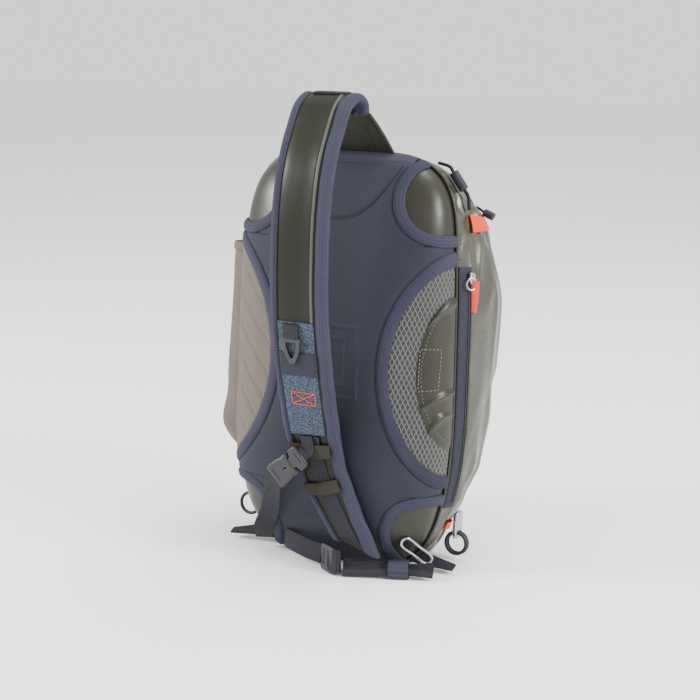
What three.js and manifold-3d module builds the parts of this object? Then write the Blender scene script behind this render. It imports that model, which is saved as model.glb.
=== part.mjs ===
// Fishing tackle sling bag, standing on the floor and leaning back a little, with its one
// shoulder strap arching up from the yoke and hanging down in front of the back panel.
// Millimetres, +Z up. +X is to the right of someone who faces the back panel, +Y points from the
// back panel to the bag's front, and the origin is on the floor under the bag.
import * as THREE from "three";
import { mergeVertices } from "three/addons/utils/BufferGeometryUtils.js";
import Module from "manifold-3d";

const wasm = await Module();
wasm.setup();

// Sizes of the bag's body
const HALF_WIDTH = 132;
const HALF_HEIGHT = 226;
const HEAD_POWER = 4;
const LEFT_HEAD_POWER = 5;
const FOOT_POWER = 3.3;
const OUTLINE_TAPER = 0.03;
const LEFT_HEAD_TAPER = -0.02;
const BACK_DEPTH = 55;
const BACK_POWER = 2.6;
const FRONT_DEPTH = 130;
const FRONT_POWER = 4.2;
const SIDE_BULGE = 15;
const SLIM_RETURN = 1.04;
const FOOT_DROP = 12;
const LEAN = THREE.MathUtils.degToRad(6);
const SEAM_SETBACK = 25;
const FLOOR_SINK = 3;
const SHELL_WALL = 2.5;
const CLEARANCE = 0.3;

// Sizes of the back panel and of what is sewn round it
const PANEL_THICKNESS = 4;
const MESH_THICKNESS = 1.5;
const LAMINATE_THICKNESS = 1;
const BINDING_THICKNESS = 3;
const BINDING_WIDTH = 13.5;
const ARC_RADIUS = 162;
const ARC_REACH = 58;
const ARC_HEIGHT = 2;
const FAN_RADIUS = 157;
const FAN_REACH = 99;
const CORNER_RADIUS = 53;
const CORNER_INSET = 18;
const CORNER_DROP = 40;
const TOP_BAND_WIDTH = 14;
const TOP_BAND_HALF = 70;
const EMBOSS_HALF_WIDTH = 37;
const EMBOSS_HALF_HEIGHT = 38;
const EMBOSS_HEIGHT = 5;
const EMBOSS_LINE = 3;
const EMBOSS_RAISE = 0.8;
const PIPING_RADIUS = 1.6;

// Sizes of the zips and of what hangs on them
const ZIP_TAPE_WIDTH = 15;
const ZIP_TAPE_THICKNESS = 1.2;
const ZIP_COIL_WIDTH = 3.4;
const ZIP_COIL_THICKNESS = 1.2;
const SIDE_ZIP_TOP = 112;
const SIDE_ZIP_BOTTOM = -150;
const RING_RADIUS = 6.5;
const RING_WIRE = 0.9;
const PULL_LENGTH = 34;
const PULL_WIDTH = 9;
const PULL_THICKNESS = 3.5;
const LOOP_RADIUS = 12;
const LOOP_CORD = 2;
const POCKET_HALF_WIDTH = 80;
const POCKET_HALF_HEIGHT = 105;
const POCKET_BULGE = 14;
const POCKET_RISE = 10;

// Sizes of the bottle pocket on the left side
const BOTTLE_REACH = 46;
const BOTTLE_NEAR = 6;
const BOTTLE_FAR = 92;
const BOTTLE_TOP = 118;
const BOTTLE_BOTTOM = -120;
const BOTTLE_WALL = 2;
const BOTTLE_RIM = 9;
const BOTTLE_RIM_THICKNESS = 1.4;

// Sizes of the shoulder strap and of what it carries
const STRAP_WIDTH = 67;
const STRAP_END_WIDTH = 44;
const STRAP_END_SLANT = 38;
const STRAP_TAPER_START = 400;
const STRAP_THICKNESS = 8;
const STRAP_BINDING_WIDTH = 8.5;
const STRAP_BINDING_THICKNESS = 10.4;
const WEBBING_WIDTH = 22;
const WEBBING_THICKNESS = 1.6;
const FELT_THICKNESS = 1.3;
const YOKE_BASE_HALF = 49;
const YOKE_TOP_HALF = 35;
const YOKE_THICKNESS = 2.4;
const BUCKLE_WIDTH = 25;
const BUCKLE_THICKNESS = 9;
const LADDER_WIDTH = 27;

// Strap centre line from its folded end behind the arch, over the arch and down to its lower end
const STRAP_LINE = [
  [0, -24, 494],
  [0, -27, 504],
  [0, -42, 511],
  [0, -62, 503],
  [0, -80, 479],
  [0, -98, 445],
  [0, -109, 403],
  [0, -114, 355],
  [0, -115, 305],
  [0, -109, 252],
  [0, -99, 202],
  [0, -87, 158],
  [6, -79, 118],
  [17, -75, 88],
  [30, -71, 57],
  [41, -68, 35],
  [50, -65, 15],
];

// How deep the back dome and the front are, as shares of their depths, at shares of the half height
const BACK_SHARES = [[-1, 0.5], [-0.75, 0.9], [-0.5, 1], [1, 1]];
const FRONT_SHARES = [
  [-1, 0.48],
  [-0.74, 0.52],
  [-0.62, 0.68],
  [-0.45, 0.85],
  [-0.2, 0.94],
  [0.3, 1],
  [0.62, 0.86],
  [0.85, 0.62],
  [1, 0.5],
];

// How far the right half of the seam draws in, from foot to head; the front bulges out by as much
const SLIM_SHARES = [
  [-1, 0.03],
  [-0.6, 0.055],
  [0.45, 0.075],
  [1, 0],
];

const COLOURS = {
  olive: [0x45453a, 0.5, 0],
  slate: [0x484c5c, 0.8, 0],
  binding: [0x62627d, 0.85, 0],
  silverMesh: [0x9a9896, 0.8, 0],
  taupeMesh: [0x8c827d, 0.9, 0],
  felt: [0x6e7887, 0.95, 0],
  webbing: [0x3c3c44, 0.85, 0],
  elastic: [0x64625a, 0.85, 0],
  orange: [0xeb642d, 0.5, 0],
  plastic: [0x3a3a42, 0.5, 0],
  rubber: [0x4b4e57, 0.7, 0],
  metal: [0xc8ccd0, 0.25, 1],
};

const bag = new THREE.Group();
const body = new THREE.Group();
body.rotation.x = -LEAN;
body.position.set(
  0,
  HALF_HEIGHT * Math.sin(LEAN) - SEAM_SETBACK,
  HALF_HEIGHT * Math.cos(LEAN) - FLOOR_SINK,
);
body.updateMatrix();
bag.add(body);

// A closed mesh's geometry as a solid that can be joined and cut.
function solidOf(geometry) {
  const bare = new THREE.BufferGeometry();
  bare.setAttribute("position", geometry.getAttribute("position"));
  if (geometry.index) bare.setIndex(geometry.index);
  const merged = mergeVertices(bare, 1e-4);
  const vertProperties = merged.attributes.position.array;
  const triVerts = new Uint32Array(merged.index.array);
  return new wasm.Manifold(new wasm.Mesh({ numProp: 3, vertProperties, triVerts }));
}

function geometryOf(solid) {
  const mesh = solid.getMesh();
  const geometry = new THREE.BufferGeometry();
  geometry.setAttribute("position", new THREE.BufferAttribute(mesh.vertProperties, 3));
  geometry.setIndex(new THREE.BufferAttribute(mesh.triVerts, 1));
  const flat = geometry.toNonIndexed();
  flat.computeVertexNormals();
  return flat;
}

function addPiece(group, name, shape, colour) {
  const [color, roughness, metalness] = COLOURS[colour];
  const material = new THREE.MeshStandardMaterial({ color, roughness, metalness });
  const geometry = shape.isBufferGeometry ? shape : geometryOf(shape);
  const mesh = new THREE.Mesh(geometry, material);
  mesh.name = name;
  group.add(mesh);
  return mesh;
}

// A closed skin over rings of points, closed at both ends by fans round the two centres.
function loft(rings, startCentre, endCentre) {
  const n = rings[0].length;
  const last = (rings.length - 1) * n;
  const points = [...rings.flat(), startCentre, endCentre];
  const faces = [];
  for (let i = 0; i < n; i++) {
    const j = (i + 1) % n;
    faces.push([i, rings.length * n, j]);
    faces.push([last + i, last + j, rings.length * n + 1]);
    for (let r = 0; r < last; r += n) {
      faces.push([r + i, r + j, r + n + j]);
      faces.push([r + i, r + n + j, r + n + i]);
    }
  }
  return closedSkin(points, faces);
}

// The geometry of a closed skin, its faces turned outward.
function closedSkin(points, faces) {
  let volume = 0;
  for (const [a, b, c] of faces) {
    volume += points[a].dot(points[b].clone().cross(points[c]));
  }
  const geometry = new THREE.BufferGeometry();
  geometry.setFromPoints(points);
  geometry.setIndex(faces.flatMap(([a, b, c]) => (volume > 0 ? [a, b, c] : [a, c, b])));
  const flat = geometry.toNonIndexed();
  flat.computeVertexNormals();
  return flat;
}

// A closed ring of sections, such as a piping or a wire loop.
function loop(rings) {
  const n = rings[0].length;
  const points = rings.flat();
  const total = points.length;
  const faces = [];
  for (let r = 0; r < total; r += n) {
    for (let i = 0; i < n; i++) {
      const j = (i + 1) % n;
      const next = (r + n) % total;
      faces.push([r + i, r + j, next + j], [r + i, next + j, next + i]);
    }
  }
  return closedSkin(points, faces);
}

const mean = (points) =>
  points.reduce((sum, p) => sum.add(p), new THREE.Vector3()).divideScalar(points.length);
const skin = (rings) => loft(rings, mean(rings[0]), mean(rings[rings.length - 1]));

// The bag's outline in its own leaning plane: a rounded box, a little narrower at the top of its
// right side and fuller on the left shoulder.
function slimAt(place) {
  return shareAt(SLIM_SHARES, place);
}

function outlineAt(turn, grow) {
  const c = Math.cos(turn);
  const s = Math.sin(turn);
  const onLeft = c < 0 && s > 0;
  const power = 2 / (s < 0 ? FOOT_POWER : onLeft ? LEFT_HEAD_POWER : HEAD_POWER);
  const taper = onLeft ? LEFT_HEAD_TAPER : OUTLINE_TAPER;
  const z = Math.sign(s) * Math.abs(s) ** power;
  const slim = c > 0 ? slimAt(z) : 0;
  const x = Math.sign(c) * Math.abs(c) ** power * (1 - taper * z) * (1 - slim);
  return [x * (HALF_WIDTH + grow), z * (HALF_HEIGHT + grow)];
}

const OUTLINE_STEPS = 40;
const DOME_STEPS = 6;

// One side of the body grown by a distance: side -1 is the back dome, +1 the deep front.
// reach carries the solid straight on past the seam, for cutting.
function domeSolid(side, grow, reach = 0) {
  const power = side < 0 ? BACK_POWER : FRONT_POWER;
  const rings = [];
  const ringAt = (share, rise, seam) => {
    const ring = [];
    for (let i = 0; i < OUTLINE_STEPS; i++) {
      const [ox, oz] = outlineAt((2 * Math.PI * i) / OUTLINE_STEPS, grow);
      ring.push(domePoint(side, ox * share, oz * share, rise, grow, seam));
    }
    return ring;
  };
  if (reach > 0) rings.push(ringAt(1, 0, -side * reach));
  for (let i = 0; i < DOME_STEPS; i++) {
    const tilt = (Math.PI / 2) * (i / DOME_STEPS) ** (side < 0 ? 1.3 : 2);
    rings.push(ringAt(Math.cos(tilt) ** (2 / power), Math.sin(tilt) ** (2 / power), side * CLEARANCE / 2));
  }
  const start = new THREE.Vector3(0, rings[0][0].y, 0);
  return solidOf(loft(rings, start, domePoint(side, 0, 0, 1, grow, side * CLEARANCE / 2)));
}

// The value of a table of shares at a place, with soft steps between its rows.
function shareAt(rows, place) {
  const next = rows.findIndex(([at]) => at >= place);
  if (next <= 0) return next < 0 ? rows[rows.length - 1][1] : rows[0][1];
  const [low, from] = rows[next - 1];
  const [high, to] = rows[next];
  return THREE.MathUtils.lerp(from, to, THREE.MathUtils.smoothstep(place, low, high));
}

// A point of a dome: the front also bulges sideways and settles a little at its foot.
function domePoint(side, x, z, rise, grow, seam) {
  const place = z / HALF_HEIGHT;
  if (side < 0) {
    const depth = BACK_DEPTH * shareAt(BACK_SHARES, place) + grow;
    return new THREE.Vector3(x, seam - depth * rise, z);
  }
  const depth = FRONT_DEPTH * shareAt(FRONT_SHARES, place) + grow;
  const share = shareAt(FRONT_SHARES, place);
  const round = Math.sin(Math.PI * Math.min(1, rise)) * share * share;
  const low = Math.max(0, -place) ** 2;
  const drop = FOOT_DROP * low * Math.sin((Math.PI / 2) * Math.min(1, 1.4 * rise));
  const slim = x > 0 ? slimAt(place) : 0;
  const bulge = (SIDE_BULGE / HALF_WIDTH + SLIM_RETURN * slim) / (1 - slim);
  const wide = x * (1 + bulge * round);
  return new THREE.Vector3(wide, seam + depth * rise, z - drop);
}

const toBody = body.matrix.clone().invert();

function boxBetween(low, high) {
  const size = high.map((v, i) => v - low[i]);
  const box = new THREE.BoxGeometry(...size);
  return box.translate(...low.map((v, i) => v + size[i] / 2));
}

// All that is above a level over the floor, in the body's own leaning frame.
function aboveFloor(level) {
  return solidOf(boxBetween([-400, -400, level], [400, 400, 900]).applyMatrix4(toBody));
}

function cylinderAlongY(x, z, radius, sides = 44) {
  const drum = new THREE.CylinderGeometry(radius, radius, 400, sides);
  return solidOf(drum.translate(x, 0, z));
}

// Body shells, hollow and open to each other at the seam
const shell = (side) =>
  domeSolid(side, 0)
    .intersect(aboveFloor(0))
    .subtract(domeSolid(side, -SHELL_WALL, 20).intersect(aboveFloor(SHELL_WALL)));
addPiece(body, "rear_shell", shell(-1), "olive");
addPiece(body, "front_shell", shell(1), "olive");

// A sheet that lies on the back dome or the front between two distances from it.
const seamClear = 2 * PIPING_RADIUS + 2 * CLEARANCE;
function sheetOn(side, low, high) {
  const sheet = domeSolid(side, high).subtract(domeSolid(side, low, 20)).intersect(aboveFloor(2));
  const limits = side < 0 ? [-300, -seamClear] : [seamClear, 300];
  return sheet.intersect(solidOf(boxBetween([-300, limits[0], -300], [300, limits[1], 300])));
}

const arcCentre = ARC_REACH + ARC_RADIUS;
const arcDrum = (sign, radius) => cylinderAlongY(sign * arcCentre, ARC_HEIGHT, radius);
const cornerX = HALF_WIDTH - CORNER_INSET;
const cornerZ = HALF_HEIGHT - CORNER_DROP;
const cornerDrum = (signX, signZ, radius) =>
  cylinderAlongY(signX * cornerX, signZ * cornerZ, radius, 26);

// Back panel: padded cloth with an embossed frame, cut out at the sides and corners
function backPanel() {
  const half = [EMBOSS_HALF_WIDTH, EMBOSS_HALF_HEIGHT];
  const frameBox = (shrink) =>
    solidOf(
      boxBetween(
        [-half[0] + shrink, -300, EMBOSS_HEIGHT - half[1] + shrink],
        [half[0] - shrink, 0, EMBOSS_HEIGHT + half[1] - shrink],
      ),
    );
  let panel = sheetOn(-1, CLEARANCE, PANEL_THICKNESS);
  const raised = sheetOn(-1, CLEARANCE, PANEL_THICKNESS + EMBOSS_RAISE);
  panel = panel.add(raised.intersect(frameBox(0).subtract(frameBox(EMBOSS_LINE))));
  for (const sign of [-1, 1]) {
    panel = panel.subtract(arcDrum(sign, ARC_RADIUS + CLEARANCE));
    panel = panel.subtract(cornerDrum(sign, 1, CORNER_RADIUS + CLEARANCE));
    panel = panel.subtract(cornerDrum(sign, -1, CORNER_RADIUS + CLEARANCE));
  }
  const low = [-TOP_BAND_HALF, -300, HALF_HEIGHT - TOP_BAND_WIDTH - CLEARANCE];
  panel = panel.subtract(solidOf(boxBetween(low, [TOP_BAND_HALF, 10, 300])));
  return panel.decompose().sort((a, b) => b.volume() - a.volume())[0];
}
addPiece(body, "back_panel", backPanel(), "slate");

// Bindings: the tapes sewn round the panel's side arcs, corners and top edge
const bindingSheet = sheetOn(-1, CLEARANCE, BINDING_THICKNESS);
const meshSheet = sheetOn(-1, CLEARANCE, MESH_THICKNESS);
const fanSheet = sheetOn(
  -1,
  MESH_THICKNESS + CLEARANCE,
  MESH_THICKNESS + CLEARANCE + LAMINATE_THICKNESS,
);
for (const [sign, side] of [[-1, "left"], [1, "right"]]) {
  const arc = arcDrum(sign, ARC_RADIUS).subtract(arcDrum(sign, ARC_RADIUS - BINDING_WIDTH));
  addPiece(body, "binding_arc_" + side, bindingSheet.intersect(arc), "binding");
  const wing = meshSheet.intersect(arcDrum(sign, ARC_RADIUS - BINDING_WIDTH - CLEARANCE));
  addPiece(body, "mesh_wing_" + side, wing, sign < 0 ? "taupeMesh" : "silverMesh");
  for (const [signZ, end] of [[1, "top"], [-1, "bottom"]]) {
    const ring = cornerDrum(sign, signZ, CORNER_RADIUS)
      .subtract(cornerDrum(sign, signZ, CORNER_RADIUS - BINDING_WIDTH + 1))
      .subtract(arcDrum(sign, ARC_RADIUS + CLEARANCE));
    const piece = bindingSheet.intersect(ring).decompose();
    piece.sort((a, b) => b.volume() - a.volume());
    addPiece(body, `binding_corner_${end}_${side}`, piece[0], "binding");
  }
}
const topBand = solidOf(
  boxBetween([-TOP_BAND_HALF, -300, HALF_HEIGHT - TOP_BAND_WIDTH], [TOP_BAND_HALF, 0, 300]),
);
const topBandClear = (sign) => cornerDrum(sign, 1, CORNER_RADIUS + CLEARANCE);
addPiece(
  body,
  "binding_top",
  bindingSheet.intersect(topBand).subtract(topBandClear(1)).subtract(topBandClear(-1)),
  "binding",
);
addPiece(
  body,
  "wing_fan_right",
  fanSheet.intersect(cylinderAlongY(FAN_REACH + FAN_RADIUS, ARC_HEIGHT, FAN_RADIUS)),
  "olive",
);

// Piping that stands out along the seam and ends where the body meets the floor
function seamPiping() {
  const path = [];
  const grow = PIPING_RADIUS + CLEARANCE;
  for (let i = 0; i <= OUTLINE_STEPS; i++) {
    const turn = -Math.PI / 2 + (2 * Math.PI * i) / OUTLINE_STEPS;
    const [x, z] = outlineAt(turn, grow);
    path.push(new THREE.Vector3(x, 0, z));
  }
  const rings = path.slice(0, -1).map((p, i) => {
    const before = path[(i + OUTLINE_STEPS - 1) % OUTLINE_STEPS];
    const after = path[(i + 1) % OUTLINE_STEPS];
    const along = after.clone().sub(before).normalize();
    const out = new THREE.Vector3(along.z, 0, -along.x);
    return [0, 1, 2, 3, 4].map((k) => {
      const a = (2 * Math.PI * k) / 5;
      const r = PIPING_RADIUS;
      return p.clone().addScaledVector(out, r * Math.cos(a)).add(new THREE.Vector3(0, r * Math.sin(a), 0));
    });
  });
  const foot = solidOf(boxBetween([-105, -50, -300], [105, 50, 0]));
  return solidOf(loop(rings)).intersect(aboveFloor(0.2)).subtract(foot);
}
addPiece(body, "seam_piping", seamPiping(), "olive");

// A rod along points, round or nearly so, closed at both ends.
function rod(points, radius, sides = 8, steps = 12) {
  const curve = new THREE.CatmullRomCurve3(points.map((p) => new THREE.Vector3(...p)));
  const section = new THREE.Shape();
  for (let i = 0; i < sides; i++) {
    const turn = (2 * Math.PI * i) / sides;
    section[i ? "lineTo" : "moveTo"](radius * Math.cos(turn), radius * Math.sin(turn));
  }
  return new THREE.ExtrudeGeometry(section, { steps, bevelEnabled: false, extrudePath: curve });
}

// A band of webbing or cloth along points, its width along the given directions.
function ribbon(points, widths, across, thickness, steps = 12) {
  const line = new THREE.CatmullRomCurve3(points.map((p) => new THREE.Vector3(...p)), false, "centripetal");
  const sides = new THREE.CatmullRomCurve3(across.map((p) => new THREE.Vector3(...p)));
  const rings = [];
  for (let i = 0; i <= steps; i++) {
    const u = i / steps;
    const at = line.getPoint(u);
    const along = line.getTangent(u);
    const side = sides.getPoint(u).normalize();
    side.addScaledVector(along, -side.dot(along)).normalize();
    const face = new THREE.Vector3().crossVectors(along, side);
    const half = THREE.MathUtils.lerp(widths[0], widths[1], u) / 2;
    rings.push(
      [[-1, -1], [1, -1], [1, 1], [-1, 1]].map(([w, t]) =>
        at
          .clone()
          .addScaledVector(side, w * half)
          .addScaledVector(face, (t * thickness) / 2),
      ),
    );
  }
  return skin(rings);
}

// A flat plate cut from an outline of corner points, with an optional window, then set in place.
function plate(corners, thickness, window) {
  const outline = new THREE.Shape(corners.map(([x, y]) => new THREE.Vector2(x, y)));
  if (window) outline.holes.push(new THREE.Path(window.map(([x, y]) => new THREE.Vector2(x, y))));
  const made = new THREE.ExtrudeGeometry(outline, { depth: thickness, bevelEnabled: false });
  return made.translate(0, 0, -thickness / 2);
}

const rectangle = (halfX, halfY, x = 0, y = 0) => [
  [x - halfX, y - halfY],
  [x + halfX, y - halfY],
  [x + halfX, y + halfY],
  [x - halfX, y + halfY],
];

// Turns and moves a shape so that its x runs along one direction and its z along another.
function placed(geometry, origin, alongX, towardsZ) {
  const x = new THREE.Vector3(...alongX).normalize();
  const z = new THREE.Vector3(...towardsZ);
  z.addScaledVector(x, -z.dot(x)).normalize();
  const y = new THREE.Vector3().crossVectors(z, x);
  const frame = new THREE.Matrix4().makeBasis(x, y, z).setPosition(...origin);
  return geometry.applyMatrix4(frame);
}

// Where the body leaves room for a piece that stands on it, in the bag's upright frame.
function clearOfBody(shape, backGrow = CLEARANCE) {
  return [[-1, backGrow], [1, CLEARANCE]].reduce((left, [side, grow]) => {
    const full = domeSolid(side, grow, 1).transform(Array.from(body.matrix.elements));
    return left.subtract(full);
  }, shape);
}

// Side zip on the right of the bag: tape, coil, slider, wire ring and pull
const frontSheet = (low, high) => sheetOn(1, low, high);
const coilY = seamClear + ZIP_TAPE_WIDTH - ZIP_COIL_WIDTH;
const zipBox = (y, width, low, high) => solidOf(boxBetween([60, y, low], [200, y + width, high]));
addPiece(
  body,
  "side_zip_tape",
  frontSheet(CLEARANCE, CLEARANCE + ZIP_TAPE_THICKNESS).intersect(
    zipBox(seamClear, ZIP_TAPE_WIDTH, SIDE_ZIP_BOTTOM, SIDE_ZIP_TOP),
  ),
  "slate",
);
const coilLow = 2 * CLEARANCE + ZIP_TAPE_THICKNESS;
addPiece(
  body,
  "side_zip_coil",
  frontSheet(coilLow, coilLow + ZIP_COIL_THICKNESS).intersect(
    zipBox(coilY, ZIP_COIL_WIDTH, SIDE_ZIP_BOTTOM + 8, SIDE_ZIP_TOP - 4),
  ),
  "plastic",
);

// The point of the front's side at a depth y and a height z of the seam frame, grown by a
// distance: side -1 is the left one.
function sideSpot(side, y, z, grow) {
  let p = new THREE.Vector3();
  let aim = z;
  for (let i = 0; i < 4; i++) {
    const depth = FRONT_DEPTH * shareAt(FRONT_SHARES, aim / HALF_HEIGHT) + grow;
    const rise = Math.min(0.999, (y - CLEARANCE / 2) / depth);
    const share = (1 - rise ** FRONT_POWER) ** (1 / FRONT_POWER);
    const head = side < 0 ? LEFT_HEAD_POWER : HEAD_POWER;
    const power = aim > 0 ? head : FOOT_POWER;
    const sine = Math.min(1, Math.abs(aim) / (share * (HALF_HEIGHT + grow))) ** (power / 2);
    const turn = Math.sign(aim) * Math.asin(sine);
    const [ox, oz] = outlineAt(side < 0 ? Math.PI - turn : turn, grow);
    p = domePoint(1, ox * share, oz * share, rise, grow, CLEARANCE / 2);
    aim += z - p.z;
  }
  return p;
}
const sliderY = coilY + ZIP_COIL_WIDTH / 2;
const sliderZ = SIDE_ZIP_TOP - 12;
const sliderX = sideSpot(1, sliderY + 2, sliderZ - 5, coilLow + ZIP_COIL_THICKNESS).x + 1.5;
addPiece(
  body,
  "side_zip_slider",
  new THREE.BoxGeometry(3, 8, 11).translate(sliderX, sliderY, sliderZ),
  "metal",
);
const ringX = sliderX + 1.5 + RING_WIRE + CLEARANCE;
addPiece(
  body,
  "side_zip_ring",
  new THREE.TorusGeometry(RING_RADIUS, RING_WIRE, 5, 14)
    .rotateY(Math.PI / 2)
    .translate(ringX, sliderY - 1, sliderZ - RING_RADIUS + 1),
  "metal",
);
addPiece(
  body,
  "side_zip_pull",
  placed(
    plate(rectangle(PULL_LENGTH / 2, PULL_WIDTH / 2), PULL_THICKNESS),
    [ringX + RING_WIRE + CLEARANCE + PULL_THICKNESS / 2, sliderY + 4, sliderZ - PULL_LENGTH / 2],
    [0, 0.12, -1],
    [1, 0, 0],
  ),
  "orange",
);

// Lid zip's garage: an orange band across the side, with a second one low down
const bandAt = (low, high, near, far) =>
  frontSheet(CLEARANCE, CLEARANCE + MESH_THICKNESS).intersect(
    solidOf(boxBetween([60, near, low], [200, far, high])),
  );
addPiece(body, "lid_flap_orange", bandAt(147, 167, 24, 96), "orange");
addPiece(body, "foot_flap_orange", bandAt(-178, -170, 22, 50), "orange");

// Front pocket: a shallow dome on the hidden front, open behind, with a zip tape round it
function pocketPillar(grow) {
  const pillar = new THREE.CylinderGeometry(1, 1, 300, 20);
  pillar.scale(POCKET_HALF_WIDTH + grow, 1, POCKET_HALF_HEIGHT + grow);
  return solidOf(pillar.translate(0, 155, POCKET_RISE));
}
addPiece(
  body,
  "front_pocket",
  frontSheet(CLEARANCE, POCKET_BULGE)
    .intersect(pocketPillar(0))
    .subtract(frontSheet(0, POCKET_BULGE - SHELL_WALL).intersect(pocketPillar(-SHELL_WALL))),
  "olive",
);
addPiece(
  body,
  "front_pocket_tape",
  frontSheet(CLEARANCE, CLEARANCE + ZIP_TAPE_THICKNESS)
    .intersect(pocketPillar(ZIP_TAPE_WIDTH))
    .subtract(pocketPillar(CLEARANCE)),
  "slate",
);

// Bottle pocket: a mesh sleeve on the left side, open at the top, with a bound rim.
// above carries the sleeve's outline straight on past its mouth, for cutting.
function bottleSolid(shrink, above = 0) {
  const middle = (BOTTLE_NEAR + BOTTLE_FAR) / 2;
  const halfY = (BOTTLE_FAR - BOTTLE_NEAR) / 2 - shrink;
  const inside = -HALF_WIDTH + 60;
  const section = (rise, z) => {
    const full = 1 - (1 - Math.min(1, rise ** 1.6 * 7)) ** 3;
    const reach = (BOTTLE_REACH - shrink) * (0.35 + 0.65 * full) * (1 - 0.16 * rise);
    const ring = [];
    for (let k = 0; k < 10; k++) {
      const turn = (Math.PI * k) / 9;
      const c = Math.cos(turn);
      const y = middle + Math.sign(c) * Math.abs(c) ** 0.6 * halfY;
      ring.push(new THREE.Vector3(-HALF_WIDTH + 8 - (reach + 8) * Math.sin(turn) ** 0.6, y, z));
    }
    ring.push(new THREE.Vector3(inside, middle - halfY, z));
    ring.push(new THREE.Vector3(inside, middle + halfY, z));
    return ring;
  };
  const rings = [0, 1, 2, 3, 4, 5, 6, 7].map((i) =>
    section(i / 7, THREE.MathUtils.lerp(BOTTLE_BOTTOM + shrink, BOTTLE_TOP, (i / 7) ** 1.6)),
  );
  if (above > 0) rings.push(section(1, BOTTLE_TOP + above));
  return solidOf(skin(rings));
}
const largest = (solid) => solid.decompose().sort((a, b) => b.volume() - a.volume())[0];
const bodyRoom = domeSolid(1, CLEARANCE, 1);
const bottle = bottleSolid(0).subtract(bottleSolid(BOTTLE_WALL, 30)).subtract(bodyRoom);
addPiece(body, "bottle_pocket", largest(bottle), "taupeMesh");
const rimOuter = bottleSolid(-CLEARANCE - BOTTLE_RIM_THICKNESS);
const mouth = solidOf(boxBetween([-300, -50, BOTTLE_TOP - BOTTLE_RIM], [0, 200, BOTTLE_TOP + 50]));
const rim = rimOuter.subtract(bottleSolid(-CLEARANCE, 30)).subtract(bodyRoom).intersect(mouth);
addPiece(body, "bottle_pocket_rim", largest(rim), "binding");

// Shoulder strap: stations along its centre line, its width across them and its outer side
const strapLine = new THREE.CatmullRomCurve3(
  STRAP_LINE.map((p) => new THREE.Vector3(...p)),
  false,
  "centripetal",
);
strapLine.arcLengthDivisions = 800;
const STRAP_LENGTH = strapLine.getLength();
const ARCH_STEP = 8;
const ARCH_LENGTH = 80;
const STRAP_STEP = 22;

const strapHalf = (s) => {
  const down = Math.max(0, (s - STRAP_TAPER_START) / (STRAP_LENGTH - STRAP_TAPER_START));
  return THREE.MathUtils.lerp(STRAP_WIDTH, STRAP_END_WIDTH, down) / 2;
};

// A point of the strap: s along it, b across it to the right, n out of its face.
function strapPoint(s, b, n) {
  const left = Math.max(0, strapHalf(s) - b) / (2 * strapHalf(s));
  const cut = STRAP_END_SLANT * THREE.MathUtils.smoothstep(s, 0.8 * STRAP_LENGTH, STRAP_LENGTH);
  const u = THREE.MathUtils.clamp((s - cut * left) / STRAP_LENGTH, 0, 1);
  const along = strapLine.getTangentAt(u);
  const across = new THREE.Vector3(1, 0, 0);
  across.addScaledVector(along, -across.dot(along)).normalize();
  const out = new THREE.Vector3().crossVectors(along, across);
  return strapLine.getPointAt(u).addScaledVector(across, b).addScaledVector(out, n);
}

function stations(from, to) {
  const list = [from];
  for (let s = 0; s < STRAP_LENGTH; s += s < ARCH_LENGTH ? ARCH_STEP : STRAP_STEP) {
    if (s > from + 1 && s < to - 1) list.push(s);
  }
  return [...list, to];
}

// A piece that follows the strap: profile gives its outline as rows of b and n at a station.
const strapPiece = (from, to, profile) =>
  skin(stations(from, to).map((s) => profile(s).map(([b, n]) => strapPoint(s, b, n))));
const strapSlab = (from, to, left, right, low, high) =>
  strapPiece(from, to, (s) => {
    const [b0, b1] = [left, right].map((side) => (typeof side === "function" ? side(s) : side));
    return [[b0, low], [b1, low], [b1, high], [b0, high]];
  });

const padHalf = (s) => strapHalf(s) - STRAP_BINDING_WIDTH;
const face = STRAP_THICKNESS / 2;
const bevel = 1.6;
addPiece(
  bag,
  "strap_pad",
  strapPiece(0, STRAP_LENGTH, (s) => {
    const half = padHalf(s);
    return [
      [-half, -face],
      [half, -face],
      [half, face - bevel],
      [half - 4, face],
      [-half + 4, face],
      [-half, face - bevel],
    ];
  }),
  "olive",
);
for (const [sign, side] of [[-1, "left"], [1, "right"]]) {
  const bar = (s) => {
    const inner = padHalf(s) + CLEARANCE;
    const outer = strapHalf(s);
    const top = STRAP_BINDING_THICKNESS / 2;
    return [
      [inner, -top],
      [outer - 2, -top],
      [outer, -top + 2.5],
      [outer, top - 2.5],
      [outer - 2, top],
      [inner, top],
    ].map(([b, n]) => [sign * b, n]);
  };
  addPiece(bag, "strap_binding_" + side, strapPiece(0, STRAP_LENGTH, bar), "binding");
}

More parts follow.
